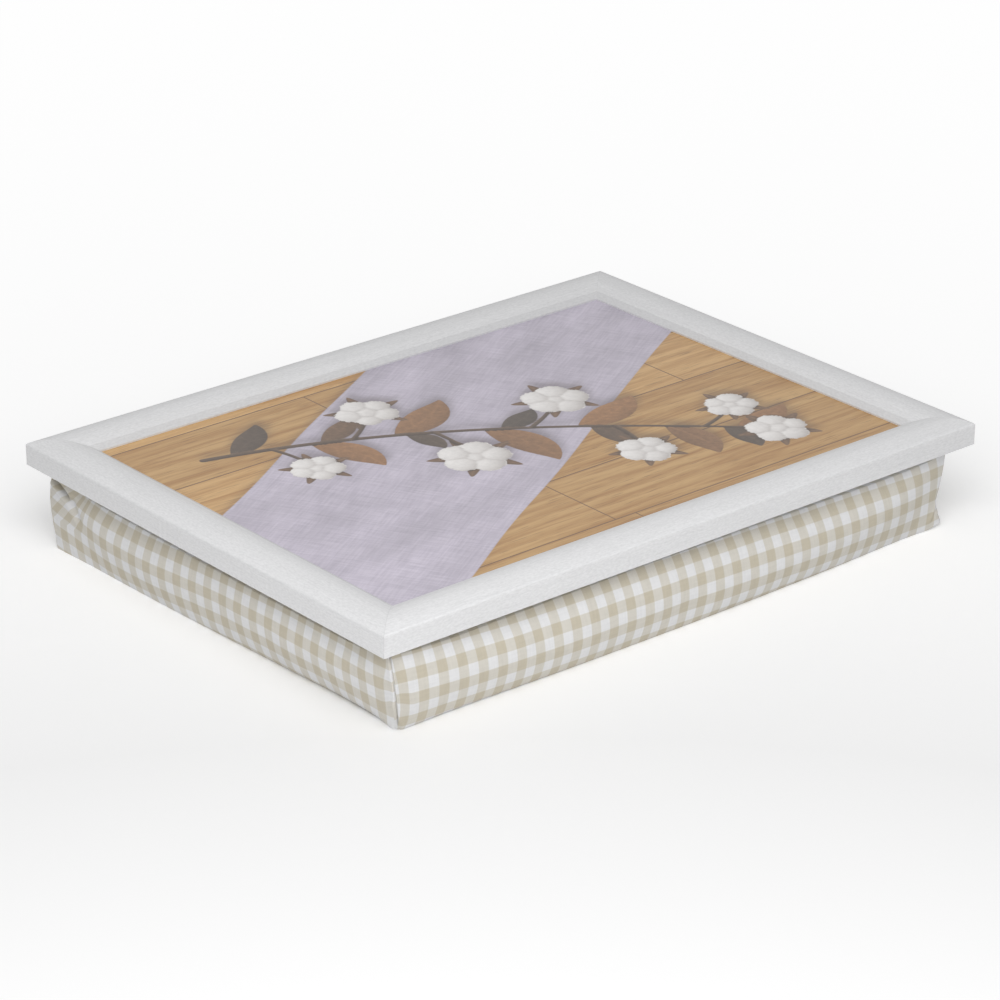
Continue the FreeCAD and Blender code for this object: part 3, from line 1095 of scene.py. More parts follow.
@dataclass
class CushionForm:
    """The cushion's form as a function of two parameters on each side.

    p runs along the side and q down it: the leaning upper part, then a rounded foot, then a margin of the
    base. Every inset is measured inwards from the frame's outer faces.
    """

    half_length: float = 215 * MM
    half_depth: float = 160 * MM
    height: float = 49.4 * MM
    top_inset: float = 11.7 * MM
    neck_depth: float = 9.0 * MM
    neck_bend: float = 0.8 * MM
    neck_share: float = 0.2
    neck_crowding: float = 1.35
    base_margin: float = 20 * MM
    bow_power: float = 2.2
    round_reach: float = 22 * MM
    corner_widest: float = 23 * MM
    corner_boxiness: float = 2.0
    boxiness: float = 1.5
    upper_share: float = 0.45
    foot_share: float = 0.86
    corners: tuple[CornerSeam, ...] = (
        CornerSeam(mm(7.6, 8.5, 15.6), mm(5.4, 2.0, 9.6), 0.2 * MM,
                   groove=2.4 * MM, groove_width=0.75 * MM, blunting=2.6 * MM),
        CornerSeam(mm(16.3, 17.2, 15.3), mm(5.2, 7.7, 8.6), 1.5 * MM, 17 * MM, foot_lift=2.0 * MM),
        CornerSeam(mm(12.0, 12.5, 13.0), mm(10.0, 8.0, 12.0)),
        CornerSeam(mm(8.8, 10.0, 9.6), mm(11.4, 5.7, 13.0), 0.2 * MM, neck=48.8 * MM),
    )
    sides: tuple[CushionSide, ...] = (
        CushionSide(
            "front", 0, 1, (1, 0), (0, -1), 2.0 * MM, 17.8 * MM, 44.3 * MM, mm(12.7, 11.8), 5.4 * MM,
            lay=ClothLay(
                (-0.846, 1.121),
                Pull(x=2.5, xx=-1.78, xxx=-2.51, s=0.71, xs=-1.51, ss=3.92, xxs=-1.55),
                Pull(x=-3.5, xx=2.71, xxx=-2.52, xxxx=-0.62, s=0.29, xs=-0.02, ss=-0.43, xxs=-1.98,
                     xss=0.01),
            ),
            ear_reach=mm(20, 13),
        ),
        CushionSide(
            "right", 1, 2, (0, 1), (1, 0), 7.5 * MM, 22 * MM, 42.2 * MM, mm(15.5, 13.0), 3.0 * MM,
            lay=ClothLay((0.3, 0.9)),
        ),
        CushionSide(
            "back", 2, 3, (-1, 0), (0, 1), 2.5 * MM, 19 * MM, 43.8 * MM, mm(12.0, 13.0), 5.0 * MM,
            lay=ClothLay((0.1, 1.2)),
        ),
        CushionSide(
            "left", 3, 0, (0, -1), (-1, 0), 8.1 * MM, 25.7 * MM, 41.6 * MM, mm(10.7, 23.3), 3.0 * MM, 1.6,
            ClothLay(
                (0.189, 2.14),
                Pull(x=-0.86, xx=3.57, xxx=1.47, s=0.95, xs=-2.79, ss=-0.51, xxs=2.54),
                Pull(x=10.19, xx=-7.05, xxx=-10.49, xxxx=9.49, s=0.07, xs=0.08, ss=-1.36, xxs=-3.69,
                     xss=-2.71),
            ),
            mm(13, 6.5),
        ),
    )

    def half_along(self, side: CushionSide) -> float:
        """Half the frame's size along a side."""
        return self.half_length if side.along[0] else self.half_depth

    def inset(self, points: np.ndarray) -> np.ndarray:
        """How far points lie in from the nearest outer face of the frame."""
        return ((self.half_length, self.half_depth) - np.abs(points[..., :2])).min(-1)

    def through_three(self, share: np.ndarray, values: tuple[float, float, float]) -> np.ndarray:
        """The parabola through three values at shares 0, 0.5 and 1."""
        first, middle, last = values
        return (first * (1 - share) * (1 - 2 * share) + 4 * middle * share * (1 - share)
                + last * share * (2 * share - 1))

    def rows(self, neck: np.ndarray, widest: np.ndarray, boxiness: np.ndarray, lean_power: float,
             q: np.ndarray) -> tuple[np.ndarray, ...]:
        """Follows the profile down: a power curve to the widest line, then a quarter superellipse.

        The same row follows the neck, where the cloth is pinched in under the rail, at every column.

        Args:
            neck: Height of the neck at each column.
            widest: Height of the widest line at each column.
            boxiness: The superellipse's exponent at each column.
            lean_power: The power curve's exponent.
            q: Shares down the profile, as a column.

        Returns:
            Height, share of the upper lean, share of the turn under, and run along the base.
        """
        upper = np.clip(q / self.upper_share, 0, 1)
        neck_at = (self.height - neck) / (self.height - widest)
        above = neck_at * (1 - np.clip(1 - upper / self.neck_share, 0, 1) ** self.neck_crowding)
        share = np.clip((upper - self.neck_share) / (1 - self.neck_share), 0, 1)
        below = neck_at + (1 - neck_at) * share ** self.neck_crowding
        upper = np.where(upper < self.neck_share, above, below)
        turn = np.clip((q - self.upper_share) / (self.foot_share - self.upper_share), 0, 1) * np.pi / 2
        power = 2 / boxiness
        upper_z = self.height + (widest - self.height) * upper
        z = np.where(q <= self.upper_share, upper_z, widest * (1 - np.sin(turn) ** power))
        lean = np.clip(1 - upper, 0, 1) ** lean_power
        under = 1 - np.clip(np.cos(turn), 0, 1) ** power
        margin = np.clip((q - self.foot_share) / (1 - self.foot_share), 0, 1) * self.base_margin
        return z, lean, under, margin

    def panel(self, side: CushionSide, p: np.ndarray, q: np.ndarray, inward: float = 0.0,
              slimmed: float = 0.0) -> np.ndarray:
        """Lays out one side: corner seams at both ends, and a swollen profile that grows between them.

        Args:
            side: The side.
            p: Shares along it.
            q: Shares down it.
            inward: How far the whole side is moved inwards, for the layers inside.
            slimmed: How much less it swells at its widest line.

        Returns:
            Points in rows along q and columns along p.
        """
        bow = 1 - np.abs(2 * p - 1) ** self.bow_power
        widest_z = self.corner_widest + (side.widest_height - self.corner_widest) * bow
        boxiness = self.corner_boxiness + (self.boxiness - self.corner_boxiness) * bow
        first, last = self.corners[side.start], self.corners[side.end]
        long_side = side.along[0] != 0
        half_along, half_out = self.half_length, self.half_depth
        ends = [(corner.inset_x, corner.inset_y) for corner in (first, last)]
        if not long_side:
            half_along, half_out = half_out, half_along
            ends = [(own_y, own_x) for own_x, own_y in ends]
        from_start, from_end = p * 2 * half_along, (1 - p) * 2 * half_along
        grown = 1 - np.exp(-((np.minimum(from_start, from_end) / self.round_reach) ** 1.5))
        corner_neck = first.neck * (1 - p) + last.neck * p
        neck = corner_neck + (side.neck - corner_neck) * grown
        z, lean, under, margin = self.rows(neck, widest_z, boxiness, side.lean_power, q[:, None])
        inward = inward + self.neck_depth * smoothstep(z, neck, neck + self.neck_bend)
        down = 1 - z / self.height
        seam = [[self.through_three(down, inset) + margin + inward for inset in end] for end in ends]
        begin, stop = seam[0][0] - half_along, half_along - seam[1][0]
        along = begin + (stop - begin) * p
        chord = seam[0][1] * (1 - p) + seam[1][1] * p
        top, wide, foot = ([end[1][level] for end in ends] for level in range(3))
        top_line = top[0] * (1 - p) + top[1] * p
        top_line = top_line + (self.top_inset - top_line) * bow
        wide_line = wide[0] * (1 - p) + wide[1] * p
        wide_line = wide_line + (side.widest - wide_line) * bow
        ears = [np.exp(-((away / reach) ** 1.5))
                for away, reach in zip((from_start, from_end), side.ear_reach)]
        foot_line = side.foot[0] * (1 - p) + side.foot[1] * p - side.foot_bow * bow
        foot_line = foot_line + (foot[0] - side.foot[0]) * ears[0] + (foot[1] - side.foot[1]) * ears[1]
        swollen = wide_line + (top_line - wide_line) * lean + (foot_line - wide_line) * under
        swollen = swollen + margin + inward + slimmed * (1 - lean) * (1 - under)
        out = half_out - (chord + (swollen - chord) * grown)
        x = along * side.along[0] + out * side.out[0]
        y = along * side.along[1] + out * side.out[1]
        return np.stack([x, y, z], -1)


@dataclass
class Cushion:
    """The soft part: gingham cover, lining, liner bag, beads and sewn loop tapes."""

    form: CushionForm = field(default_factory=CushionForm)
    columns: tuple[int, int] = (184, 138)
    crowding: float = 0.8
    row_count: int = 104
    repeat: float = 13.85 * MM
    trial_columns: tuple[int, int] = (84, 62)
    trial_rows: int = 22
    trial_frames: int = 20
    pressure: float = 3.0
    slack: float = 0.004
    foot_hold: float = 0.05
    slimmed: float = 1.2 * MM
    move_cap: float = 5 * MM
    calming: int = 5
    crown_start: float = 32.5 * MM
    crown_end: float = 46.5 * MM
    crown_rise: float = 2.7 * MM
    lining_gap: float = 0.3 * MM
    lining_wave: float = 34 * MM
    lining_slack: float = 0.25 * MM
    slack_starts: tuple[float, float] = mm(10, 18)
    slack_ends: tuple[float, float] = mm(40, 46)
    lining_sag: float = 0.5 * MM
    sag_starts: tuple[float, float] = mm(70, 95)
    flap_drop: float = 1.5 * MM
    base_wave: float = 30 * MM
    base_slack: float = 0.25 * MM
    base_seed: int = 61
    lining_seed: int = 71
    gather_seed: int = 40
    lump_seed: int = 50
    gather_depth: float = 0.2 * MM
    gather_wave: float = 17 * MM
    gather_heights: tuple[float, float] = mm(32, 48)
    lump_depth: float = 0.18 * MM
    lump_wave: float = 42 * MM
    seam_foot: tuple[float, float] = mm(1, 8)
    blunting_reach: float = 2.6 * MM
    waist_reach: float = 5 * MM
    waist_spread: float = 7 * MM
    tip_reach: float = 9 * MM
    tip_heights: tuple[float, float] = mm(4, 16)
    creases: tuple[Crease, ...] = (
        Crease(3, False, mm(3.6, 43.2), mm(21.5, 36.0), 8.5 * MM, 1.2 * MM, 1.5 * MM, -1, 0.85),
        Crease(3, False, mm(24.5, 37.5), mm(35.5, 24.0), 1.6 * MM, 2.2 * MM, 0.6 * MM, -1, 0.2),
        Crease(0, False, mm(2.4, 48.0), mm(2.6, 22.0), 0.0 * MM, 0.9 * MM, 0.7 * MM, -1),
        Crease(3, True, mm(4.6, 20.0), mm(3.0, 4.0), 0.5 * MM, 1.4 * MM, 1.3 * MM, -1),
        Crease(0, True, mm(0.6, 16.0), mm(7.5, 3.0), 1.0 * MM, 1.0 * MM, 0.6 * MM, 1),
        Crease(1, False, mm(0.6, 15.0), mm(6.5, 4.0), 0.8 * MM, 1.0 * MM, 0.5 * MM, -1),
        Crease(2, False, mm(1.0, 40.0), mm(14.0, 30.0), 1.2 * MM, 1.4 * MM, 0.6 * MM, 1),
        Crease(1, True, mm(1.0, 36.0), mm(13.0, 22.0), 1.0 * MM, 1.4 * MM, 0.5 * MM, 1),
        Crease(2, True, mm(1.0, 30.0), mm(12.0, 14.0), 1.0 * MM, 1.4 * MM, 0.5 * MM, 1),
    )
    lay_middle: float = 25 * MM
    tuck_reach: tuple[float, float] = mm(27, 47)
    tuck_foot: float = 33 * MM
    tuck_edge: float = 4 * MM
    tuck_lean: float = 0.82
    tuck_tilt: float = 0.12
    tuck_tilt_reach: float = 20 * MM
    seam_reach: float = 14 * MM
    seam_pull: float = 4.5 * MM
    seam_lean: float = 3.0 * MM
    seam_lean_rows: tuple[float, float] = mm(6, 22)
    seam_rise: float = 3.5 * MM
    seam_rise_row: float = 30 * MM
    seam_rise_spread: float = 9 * MM
    # The seam's painted shadow line: its width, strength, swell in the lower part and fade at the foot.
    seam_line: float = 0.45 * MM
    seam_tone: float = 0.4
    seam_low: float = 9 * MM
    seam_low_spread: float = 7 * MM
    seam_line_foot: tuple[float, float] = mm(1, 5)

    def build(self) -> None:
        """Builds the cover and its lining, and what is inside them."""
        panels = self.cover_panels()
        self.cover(panels)
        self.lining(panels)
        self.inner_layers()

    def shares(self, side: CushionSide, counts: tuple[int, int]) -> np.ndarray:
        """Column places along a side, closer together at its corners: t - k sin(2 pi t) / (2 pi)."""
        t = np.linspace(0, 1, counts[0 if side.along[0] else 1] + 1)
        return t - self.crowding * np.sin(2 * np.pi * t) / (2 * np.pi)

    def cover_panels(self) -> list[np.ndarray]:
        """Works out the four sides: the form, swollen by the cloth simulation, then creased.

        Returns:
            Points of each side, in rows down and columns along.
        """
        q = np.linspace(0, 1, self.row_count + 1)
        moves = self.swell()
        panels = []
        for index, side in enumerate(self.form.sides):
            p = self.shares(side, self.columns)
            points = self.form.panel(side, p, q, slimmed=self.slimmed if moves else 0.0)
            if moves:
                down = catmull_rom(q, self.trial_rows + 1)
                along = catmull_rom(p, moves[index].shape[1])
                points = points + np.einsum("ab,bcd,ec->aed", down, moves[index], along)
            points = self.creased(index, points, p)
            points[..., 2] = np.maximum(points[..., 2], 0)
            panels.append(points)
        for index, points in enumerate(panels):
            following = panels[(index + 1) % len(panels)]
            shared = (points[:, -1] + following[:, 0]) / 2
            points[:, -1] = shared
            following[:, 0] = shared
        return panels

    def swell(self) -> list[np.ndarray]:
        """Simulates the cover's band as cloth under the beads' pressure.

        The band starts a little slim, is held along the top seam and where it rests and loosely at the
        corner seams, and has no weight. Every move is capped, and small ripples are averaged out.

        Returns:
            How far each point of each side moved.
        """
        q = np.linspace(0, 1, self.trial_rows + 1)
        counts = [self.trial_columns[0 if side.along[0] else 1] for side in self.form.sides]
        panels = [self.form.panel(side, np.linspace(0, 1, count + 1), q, slimmed=self.slimmed)
                  for side, count in zip(self.form.sides, counts)]
        loop = looped(panels)
        ids = numbered(loop)
        mesh = bpy.data.meshes.new("cover_trial")
        mesh.from_pydata(loop.reshape(-1, 3), [], grid_quads(closed(ids)))
        trial = bpy.data.objects.new("cover_trial", mesh)
        bpy.context.scene.collection.objects.link(trial)
        held = trial.vertex_groups.new(name="held")
        resting = ids[q > self.form.foot_share - self.foot_hold]
        held.add([*ids[0].tolist(), *resting.ravel().tolist()], 1.0, "REPLACE")
        starts = np.cumsum([0, *counts[:-1]])
        held.add(ids[1:-len(resting), starts].ravel().tolist(), 0.6, "REPLACE")
        cloth = trial.modifiers.new("swell", "CLOTH")
        settings = cloth.settings
        settings.quality = 6
        settings.mass = 0.2
        settings.tension_stiffness = settings.compression_stiffness = 14
        settings.shear_stiffness = 6
        settings.bending_stiffness = 0.6
        settings.use_pressure = True
        settings.uniform_pressure_force = self.pressure
        settings.shrink_min = -self.slack
        settings.vertex_group_mass = held.name
        settings.effector_weights.gravity = 0
        cloth.collision_settings.use_collision = False
        cloth.point_cache.frame_start = 1
        cloth.point_cache.frame_end = self.trial_frames
        for step in range(1, self.trial_frames + 1):
            bpy.context.scene.frame_set(step)
        swollen = trial.evaluated_get(bpy.context.evaluated_depsgraph_get()).data
        after = np.zeros(loop.size, np.float32)
        swollen.vertices.foreach_get("co", after)
        moved = after.reshape(loop.shape) - loop
        bpy.context.scene.frame_set(1)
        bpy.data.objects.remove(trial)
        far = np.linalg.norm(moved, axis=-1, keepdims=True)
        moved = moved * np.minimum(1, self.move_cap / np.maximum(far, 1e-9))
        LOG.info("cover swelled by %.2f mm at most, %.2f mm on average", far.max() / MM, far.mean() / MM)
        for _ in range(self.calming):
            around = (np.roll(moved, 1, 1) + 2 * moved + np.roll(moved, -1, 1)) / 4
            moved[1:-1] = (around[:-2] + 2 * around[1:-1] + around[2:]) / 4
        moved = closed(moved)
        return [moved[:, start:start + count + 1] for start, count in zip(starts, counts)]

    def creased(self, index: int, points: np.ndarray, p: np.ndarray) -> np.ndarray:
        """Adds what a sewn, slack cover shows: pinched seams, gathers under the top seam and creases.

        Args:
            index: The side's number.
            points: Its points.
            p: Its column places.

        Returns:
            The points with their creases.
        """
        side = self.form.sides[index]
        half_along = self.form.half_along(side)
        from_start = np.broadcast_to(p * 2 * half_along, points.shape[:2])
        from_end = 2 * half_along - from_start
        z = points[..., 2].copy()
        near = np.minimum(from_start, from_end)
        clear = smoothstep(near, 0, 2 * MM) * smoothstep(z, 0.5 * MM, 6 * MM)
        outer = 1 - smoothstep(np.linspace(0, 1, len(points))[:, None], self.form.foot_share, 0.95)
        gathers = self.gather_depth * ripple(from_start, z * 0.3, self.gather_wave, self.gather_seed + index)
        gathers = gathers * smoothstep(z, *self.gather_heights)
        lumps = self.lump_depth * ripple(from_start, z, self.lump_wave, self.lump_seed + index)
        out = (gathers + lumps) * clear
        for crease in self.creases:
            if crease.side == index:
                out = out + self.fold(crease, from_end if crease.from_end else from_start, z) * clear
        points = points + grid_normals(points) * out[..., None]
        for number, away in ((side.start, from_start), (side.end, from_end)):
            seam = self.form.corners[number]
            signs = np.array([(-1, -1), (1, -1), (1, 1), (-1, 1)][number]) / math.sqrt(2)
            upper = smoothstep(z, *self.seam_foot)
            groove = seam.groove * upper * bell(away, seam.groove_width)
            groove = groove + seam.blunting * (1 - upper) * bell(away, self.blunting_reach)
            waist = seam.waist * bell(z - seam.waist_height, self.waist_spread) * bell(away, self.waist_reach)
            points[..., :2] -= (groove + waist)[..., None] * signs
            low = 1 - smoothstep(z, *self.tip_heights)
            points[..., 2] += seam.foot_lift * bell(away, self.tip_reach) * low * outer
        return points

    def fold(self, crease: Crease, away: np.ndarray, z: np.ndarray) -> np.ndarray:
        """A valley along a line with a raised lip on one side of it, faded at both ends.

        Args:
            crease: The crease.
            away: Distance of each point from the crease's corner.
            z: Height of each point.

        Returns:
            How far each point moves out.
        """
        fade, side = self.beside(crease, away, z)
        lip = crease.lift * bell(side - 2.2 * crease.width, 1.5 * crease.width)
        return fade * (lip - crease.depth * bell(side, crease.width))

    def beside(self, crease: Crease, away: np.ndarray, z: np.ndarray) -> tuple[np.ndarray, np.ndarray]:
        """Measures each point against a crease's line.

        Args:
            crease: The crease.
            away: Distance of each point from the crease's corner.
            z: Height of each point.

        Returns:
            How much of the crease there is, faded at its ends, and the distance towards its lifted side.
        """
        (c0, z0), (c1, z1) = crease.first, crease.last
        length = math.hypot(c1 - c0, z1 - z0)
        run = ((c1 - c0) / length, (z1 - z0) / length)
        part = ((away - c0) * run[0] + (z - z0) * run[1]) / length
        side = (-(away - c0) * run[1] + (z - z0) * run[0]) * crease.lift_side
        return smoothstep(part, -0.12, 0.12) * (1 - smoothstep(part, 0.7, 1.15)), side

    def cloth_lay(self, index: int, p: np.ndarray) -> np.ndarray:
        """Flat cloth coordinates of a side, counted in pattern repeats.

        Across is the distance along the side from its middle. Down is the length of cloth from the top seam
        on the smooth form, less a middle height; over the neck it runs on along the real form. The lay then
        pulls columns and rows out of true. At the back left corner the cloth is tucked up, so there the
        columns lean hard and the rows drop. At the front left seam it is drawn out and up.

        Args:
            index: The side's number.
            p: Its column places.

        Returns:
            Two coordinates for each point.
        """
        side = self.form.sides[index]
        lay = side.lay
        half_along = self.form.half_along(side)
        length = self.run_down(replace(self.form, neck_depth=0.0), side, p)
        necked = self.run_down(self.form, side, p)
        neck_row = math.ceil(self.form.upper_share * self.form.neck_share * self.row_count)
        length[:neck_row] = length[neck_row] - necked[neck_row] + necked[:neck_row]
        from_start = np.broadcast_to(p * 2 * half_along, length.shape)
        across, down = from_start - half_along, length - self.lay_middle
        x, s = across / half_along, np.clip(down / self.lay_middle, -1, None)
        across, down = across + lay.columns.at(x, s), down + lay.rows.at(x, s)
        if side.name == "left":
            above = self.tuck_foot - length
            near = 1 - smoothstep(from_start, *self.tuck_reach)
            across = across - self.tuck_lean * above * smoothstep(above, 0, self.tuck_edge) * near
            down = down - self.tuck_tilt * np.clip(self.tuck_tilt_reach - from_start, 0, None)
            at_seam = 1 - smoothstep(2 * half_along - from_start, 0, self.seam_reach)
            lifted = 1 - smoothstep(length, *self.seam_lean_rows)
            across = across - self.seam_pull * at_seam - self.seam_lean * lifted * np.clip(x, 0, 1) ** 8
        if 0 in (side.start, side.end):
            beside = from_start if side.start == 0 else 2 * half_along - from_start
            at_seam = 1 - smoothstep(beside, 0, self.seam_reach)
            down = down + self.seam_rise * at_seam * bell(length - self.seam_rise_row, self.seam_rise_spread)
        return np.stack([across, down], -1) / self.repeat + lay.phase

    def run_down(self, form: CushionForm, side: CushionSide, p: np.ndarray) -> np.ndarray:
        """Adds up the length of cloth from the top seam down to each row.

        Args:
            form: The form that the cloth lies on.
            side: The side.
            p: Its column places.

        Returns:
            The length at each row and column.
        """
        points = form.panel(side, p, np.linspace(0, 1, self.row_count + 1))
        steps = np.linalg.norm(np.diff(points, axis=0), axis=-1)
        return np.concatenate([np.zeros((1, len(p))), np.cumsum(steps, 0)])

    def cover(self, panels: list[np.ndarray]) -> bpy.types.Object:
        """Joins the four sides, the base and a flap under the lining into one closed cover.

        Args:
            panels: Points of each side.

        Returns:
            The cover.
        """
        loop = looped(panels)
        rows, around = loop.shape[:2]
        ids = numbered(loop)
        starts = np.cumsum([0, *(points.shape[1] - 1 for points in panels[:-1])])
        faces, flats = [], []
        for index, points in enumerate(panels):
            own = ids[:, (starts[index] + np.arange(points.shape[1])) % around]
            p = self.shares(self.form.sides[index], self.columns)
            faces.append(grid_quads(own))
            flats.append(self.cloth_lay(index, p).reshape(-1, 2)[grid_quads(numbered(own))])
        base, base_ids = self.patch(panels, -1, ids[-1], starts, rows * around)
        waves = ripple(base[1:-1, 1:-1, 0], base[1:-1, 1:-1, 1], self.base_wave, self.base_seed)
        base[1:-1, 1:-1, 2] = np.maximum(base[1:-1, 1:-1, 2] + self.base_slack * (1 + waves), 0)
        faces.append(grid_quads(base_ids))
        flats.append(self.base_lay(base).reshape(-1, 2)[grid_quads(numbered(base))])
        inner = base[1:-1, 1:-1].reshape(-1, 3)
        flap, flap_ids = self.patch(panels, 0, ids[0], starts, rows * around + len(inner))
        flap[1:-1, 1:-1, 2] += self.crown(flap[1:-1, 1:-1]) - self.flap_drop
        faces.append(grid_quads(flap_ids)[:, ::-1])
        flap_uv = flap[..., :2] / self.repeat
        flats.append(flap_uv.reshape(-1, 2)[grid_quads(numbered(flap))[:, ::-1]])
        points = np.concatenate([loop.reshape(-1, 3), inner, flap[1:-1, 1:-1].reshape(-1, 3)])
        # The seam attribute holds painted shade: shadow lines at the seams and shade in the closed folds.
        seam = np.zeros((len(points), 4))
        seam[:rows * around] = self.shade(panels).reshape(-1, 1)
        piece = make_piece(
            "gingham_cover", points, np.concatenate(faces), Body.CUSHION,
            GinghamCotton("gingham cotton, plain woven", 0.92, sheen=0.15, specular=0.25).material(),
            corner_uv=np.concatenate(flats), colours={"seam": seam},
        )
        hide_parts("cover_body")
        return piece

    def shade(self, panels: list[np.ndarray]) -> np.ndarray:
        """Painted shade on the sides, from 0 to 1: a thin shadow line at each seam, and shade in closing
        folds.

        Args:
            panels: Points of each side.

        Returns:
            A value for each row and each column round the cushion.
        """
        tones = []
        for index, (side, points) in enumerate(zip(self.form.sides, panels)):
            length = 2 * self.form.half_along(side)
            from_start = self.shares(side, self.columns)[:-1] * length
            z = points[:, :-1, 2]
            line = bell(np.minimum(from_start, length - from_start), self.seam_line)
            lower = bell(z - self.seam_low, self.seam_low_spread)
            tone = line * self.seam_tone * (1 + lower) * smoothstep(z, *self.seam_line_foot)
            for crease in self.creases:
                if crease.side == index:
                    away = length - from_start if crease.from_end else from_start
                    fade, off = self.beside(crease, away, z)
                    tone = tone + crease.closes * fade * bell(off, crease.width)
            tones.append(np.minimum(tone, 1))
        return np.concatenate(tones, 1)

    def patch(self, panels: list[np.ndarray], row: int, ring: np.ndarray, starts: np.ndarray,
              first_id: int) -> tuple[np.ndarray, np.ndarray]:
        """Spans one row of the four sides, as the base or the top.

        Args:
            panels: Points of each side.
            row: The row that is spanned.
            ring: Vertex numbers round that row.
            starts: Where each side starts in the ring.
            first_id: The first vertex number for the patch's own points.

        Returns:
            The patch's points, and its vertex numbers, which share the ring's.
        """
        front, right, back, left = (points[row] for points in panels)
        u = self.shares(self.form.sides[0], self.columns)
        v = self.shares(self.form.sides[1], self.columns)
        points = coons(front, back[::-1], left[::-1], right, u, v)
        wide, deep = len(u), len(v)
        ids = np.zeros((deep, wide), int)
        ids[1:-1, 1:-1] = first_id + np.arange((deep - 2) * (wide - 2)).reshape(deep - 2, wide - 2)
        ids[0] = ring[starts[0] + np.arange(wide)]
        ids[:, -1] = ring[starts[1] + np.arange(deep)]
        ids[-1, ::-1] = ring[starts[2] + np.arange(wide)]
        ids[::-1, 0] = ring[(starts[3] + np.arange(deep)) % len(ring)]
        return points, ids

    def base_lay(self, base: np.ndarray) -> np.ndarray:
        """Flat cloth coordinates of the base, which run on from those of the front side.

        Args:
            base: The base's points.

        Returns:
            Two coordinates for each point, in pattern repeats.
        """
        edge = self.cloth_lay(0, self.shares(self.form.sides[0], self.columns))[-1]
        across = np.broadcast_to(edge[:, 0], base.shape[:2])
        deep = (base[..., 1] - base[:1, :, 1]) / self.repeat
        return np.stack([across, edge[:, 1] + deep], -1)

    def crown(self, points: np.ndarray) -> np.ndarray:
        """How far the top rises: a smooth step with the distance in from the frame's outer faces."""
        return self.crown_rise * smoothstep(self.form.inset(points), self.crown_start, self.crown_end)

    def lining(self, panels: list[np.ndarray]) -> bpy.types.Object:
        """Makes the panel of undyed cotton that closes the cover under the tray.

        Args:
            panels: Points of each side.

        Returns:
            The lining.
        """
        ring = np.zeros(4 * max(self.columns) * 2, int)
        starts = np.zeros(4, int)
        top, _ = self.patch(panels, 0, ring, starts, 0)
        inset = self.form.inset(top)
        slack = smoothstep(inset, *self.slack_starts) * (1 - smoothstep(inset, *self.slack_ends))
        waves = ripple(top[..., 0], top[..., 1], self.lining_wave, self.lining_seed)
        sag = self.lining_sag * smoothstep(inset, *self.sag_starts) * (1 + 0.5 * waves)
        top[..., 2] += self.lining_gap + self.crown(top) + self.lining_slack * waves * slack - sag
        piece = make_piece(
            "lining_panel", top, grid_quads(numbered(top))[:, ::-1], Body.CUSHION,
            PlainCloth("undyed cotton calico, plain woven", 0.95, sheen=0.15, specular=0.2).material(),
        )
        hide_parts("cover_top")
        return piece

    def inner_layers(self) -> None:
        """Makes the liner bag and the heaped beads, each a closed form inside the last."""
        q = np.linspace(0, self.form.foot_share, 15)
        layers = (
            ("liner_bag", "inner_liner", "liner_cloth", 6.0 * MM,
             PlainCloth("white spunbond liner, non-woven", 0.9, pale="#F1F1F1", fleck="#E2E2E2")),
            ("bead_heap", "bead_filling", "beads", 7.5 * MM,
             FlecksAndGrit("foamed polystyrene beads", 0.75, light="#F4F4F4", dark="#DADADA", fleck=4 * MM,
                           relief=1.2 * MM)),
        )
        for name, node, slot, inward, finish in layers:
            panels = [self.form.panel(side, np.linspace(0, 1, 41), q, inward) for side in self.form.sides]
            lift = 1 - 2 * inward / self.form.height
            for points in panels:
                points[..., 2] = points[..., 2] * lift + inward
            loop = looped(panels)
            ids = numbered(loop)
            faces = [*grid_quads(closed(ids)).tolist(), ids[-1][::-1].tolist(), ids[0].tolist()]
            piece = make_piece(name, loop, faces, Body.CUSHION, finish.material())
            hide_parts(node)


@dataclass
class TapeStrips:
    """Four fastening tapes of one kind: flat woven strips with soft edges."""

    pile: Pile
    body: Body
    boxiness: float = 5.0
    around: int = 36
    stations: int = 64
    end_round: float = 0.8 * MM

    def build(self) -> None:
        """Makes the four strips in the places of their nodes."""
        finish = FasteningTape(f"nylon {self.pile.value} tape, woven", 0.7, pile=self.pile, sheen=0.1)
        material = finish.material()
        for side in ("front", "back", "left", "right"):
            node = f"{self.pile.value}_strip_{side}"
            piece = self.strip(node, material)
            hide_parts(node)

    def strip(self, node: str, material: bpy.types.Material) -> bpy.types.Object:
        """Carries a superellipse profile along the node's longer side, drawn in a little at both ends.

        Args:
            node: The node that the strip stands for.
            material: Its finish.

        Returns:
            The strip.
        """
        low, high = (np.array(corner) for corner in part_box(node))
        middle, half = (low + high) / 2, (high - low) / 2
        axis = int(np.argmax(half))
        other = 1 - axis
        turn = np.linspace(0, 2 * np.pi, self.around, endpoint=False)
        power = 2 / self.boxiness
        wide = half[other] * np.sign(np.cos(turn)) * np.abs(np.cos(turn)) ** power
        tall = half[2] * np.sign(np.sin(turn)) * np.abs(np.sin(turn)) ** power
        place = np.linspace(-1, 1, self.stations + 1) * half[axis]
        drawn = 1 - 0.35 * (1 - smoothstep(half[axis] - np.abs(place), 0, self.end_round))
        points = np.zeros((len(place), self.around, 3))
        points[..., axis] = middle[axis] + place[:, None]
        points[..., other] = middle[other] + wide
        points[..., 2] = middle[2] + tall * drawn[:, None]
        ids = numbered(points)
        quads = grid_quads(closed(ids))
        caps = [ids[0], ids[-1][::-1]]
        if axis == 1:
            quads, caps = quads[:, ::-1], [cap[::-1] for cap in caps]
        faces = [*quads.tolist(), *(cap.tolist() for cap in caps)]
        return make_piece(node + "_tape", points, faces, self.body, material)


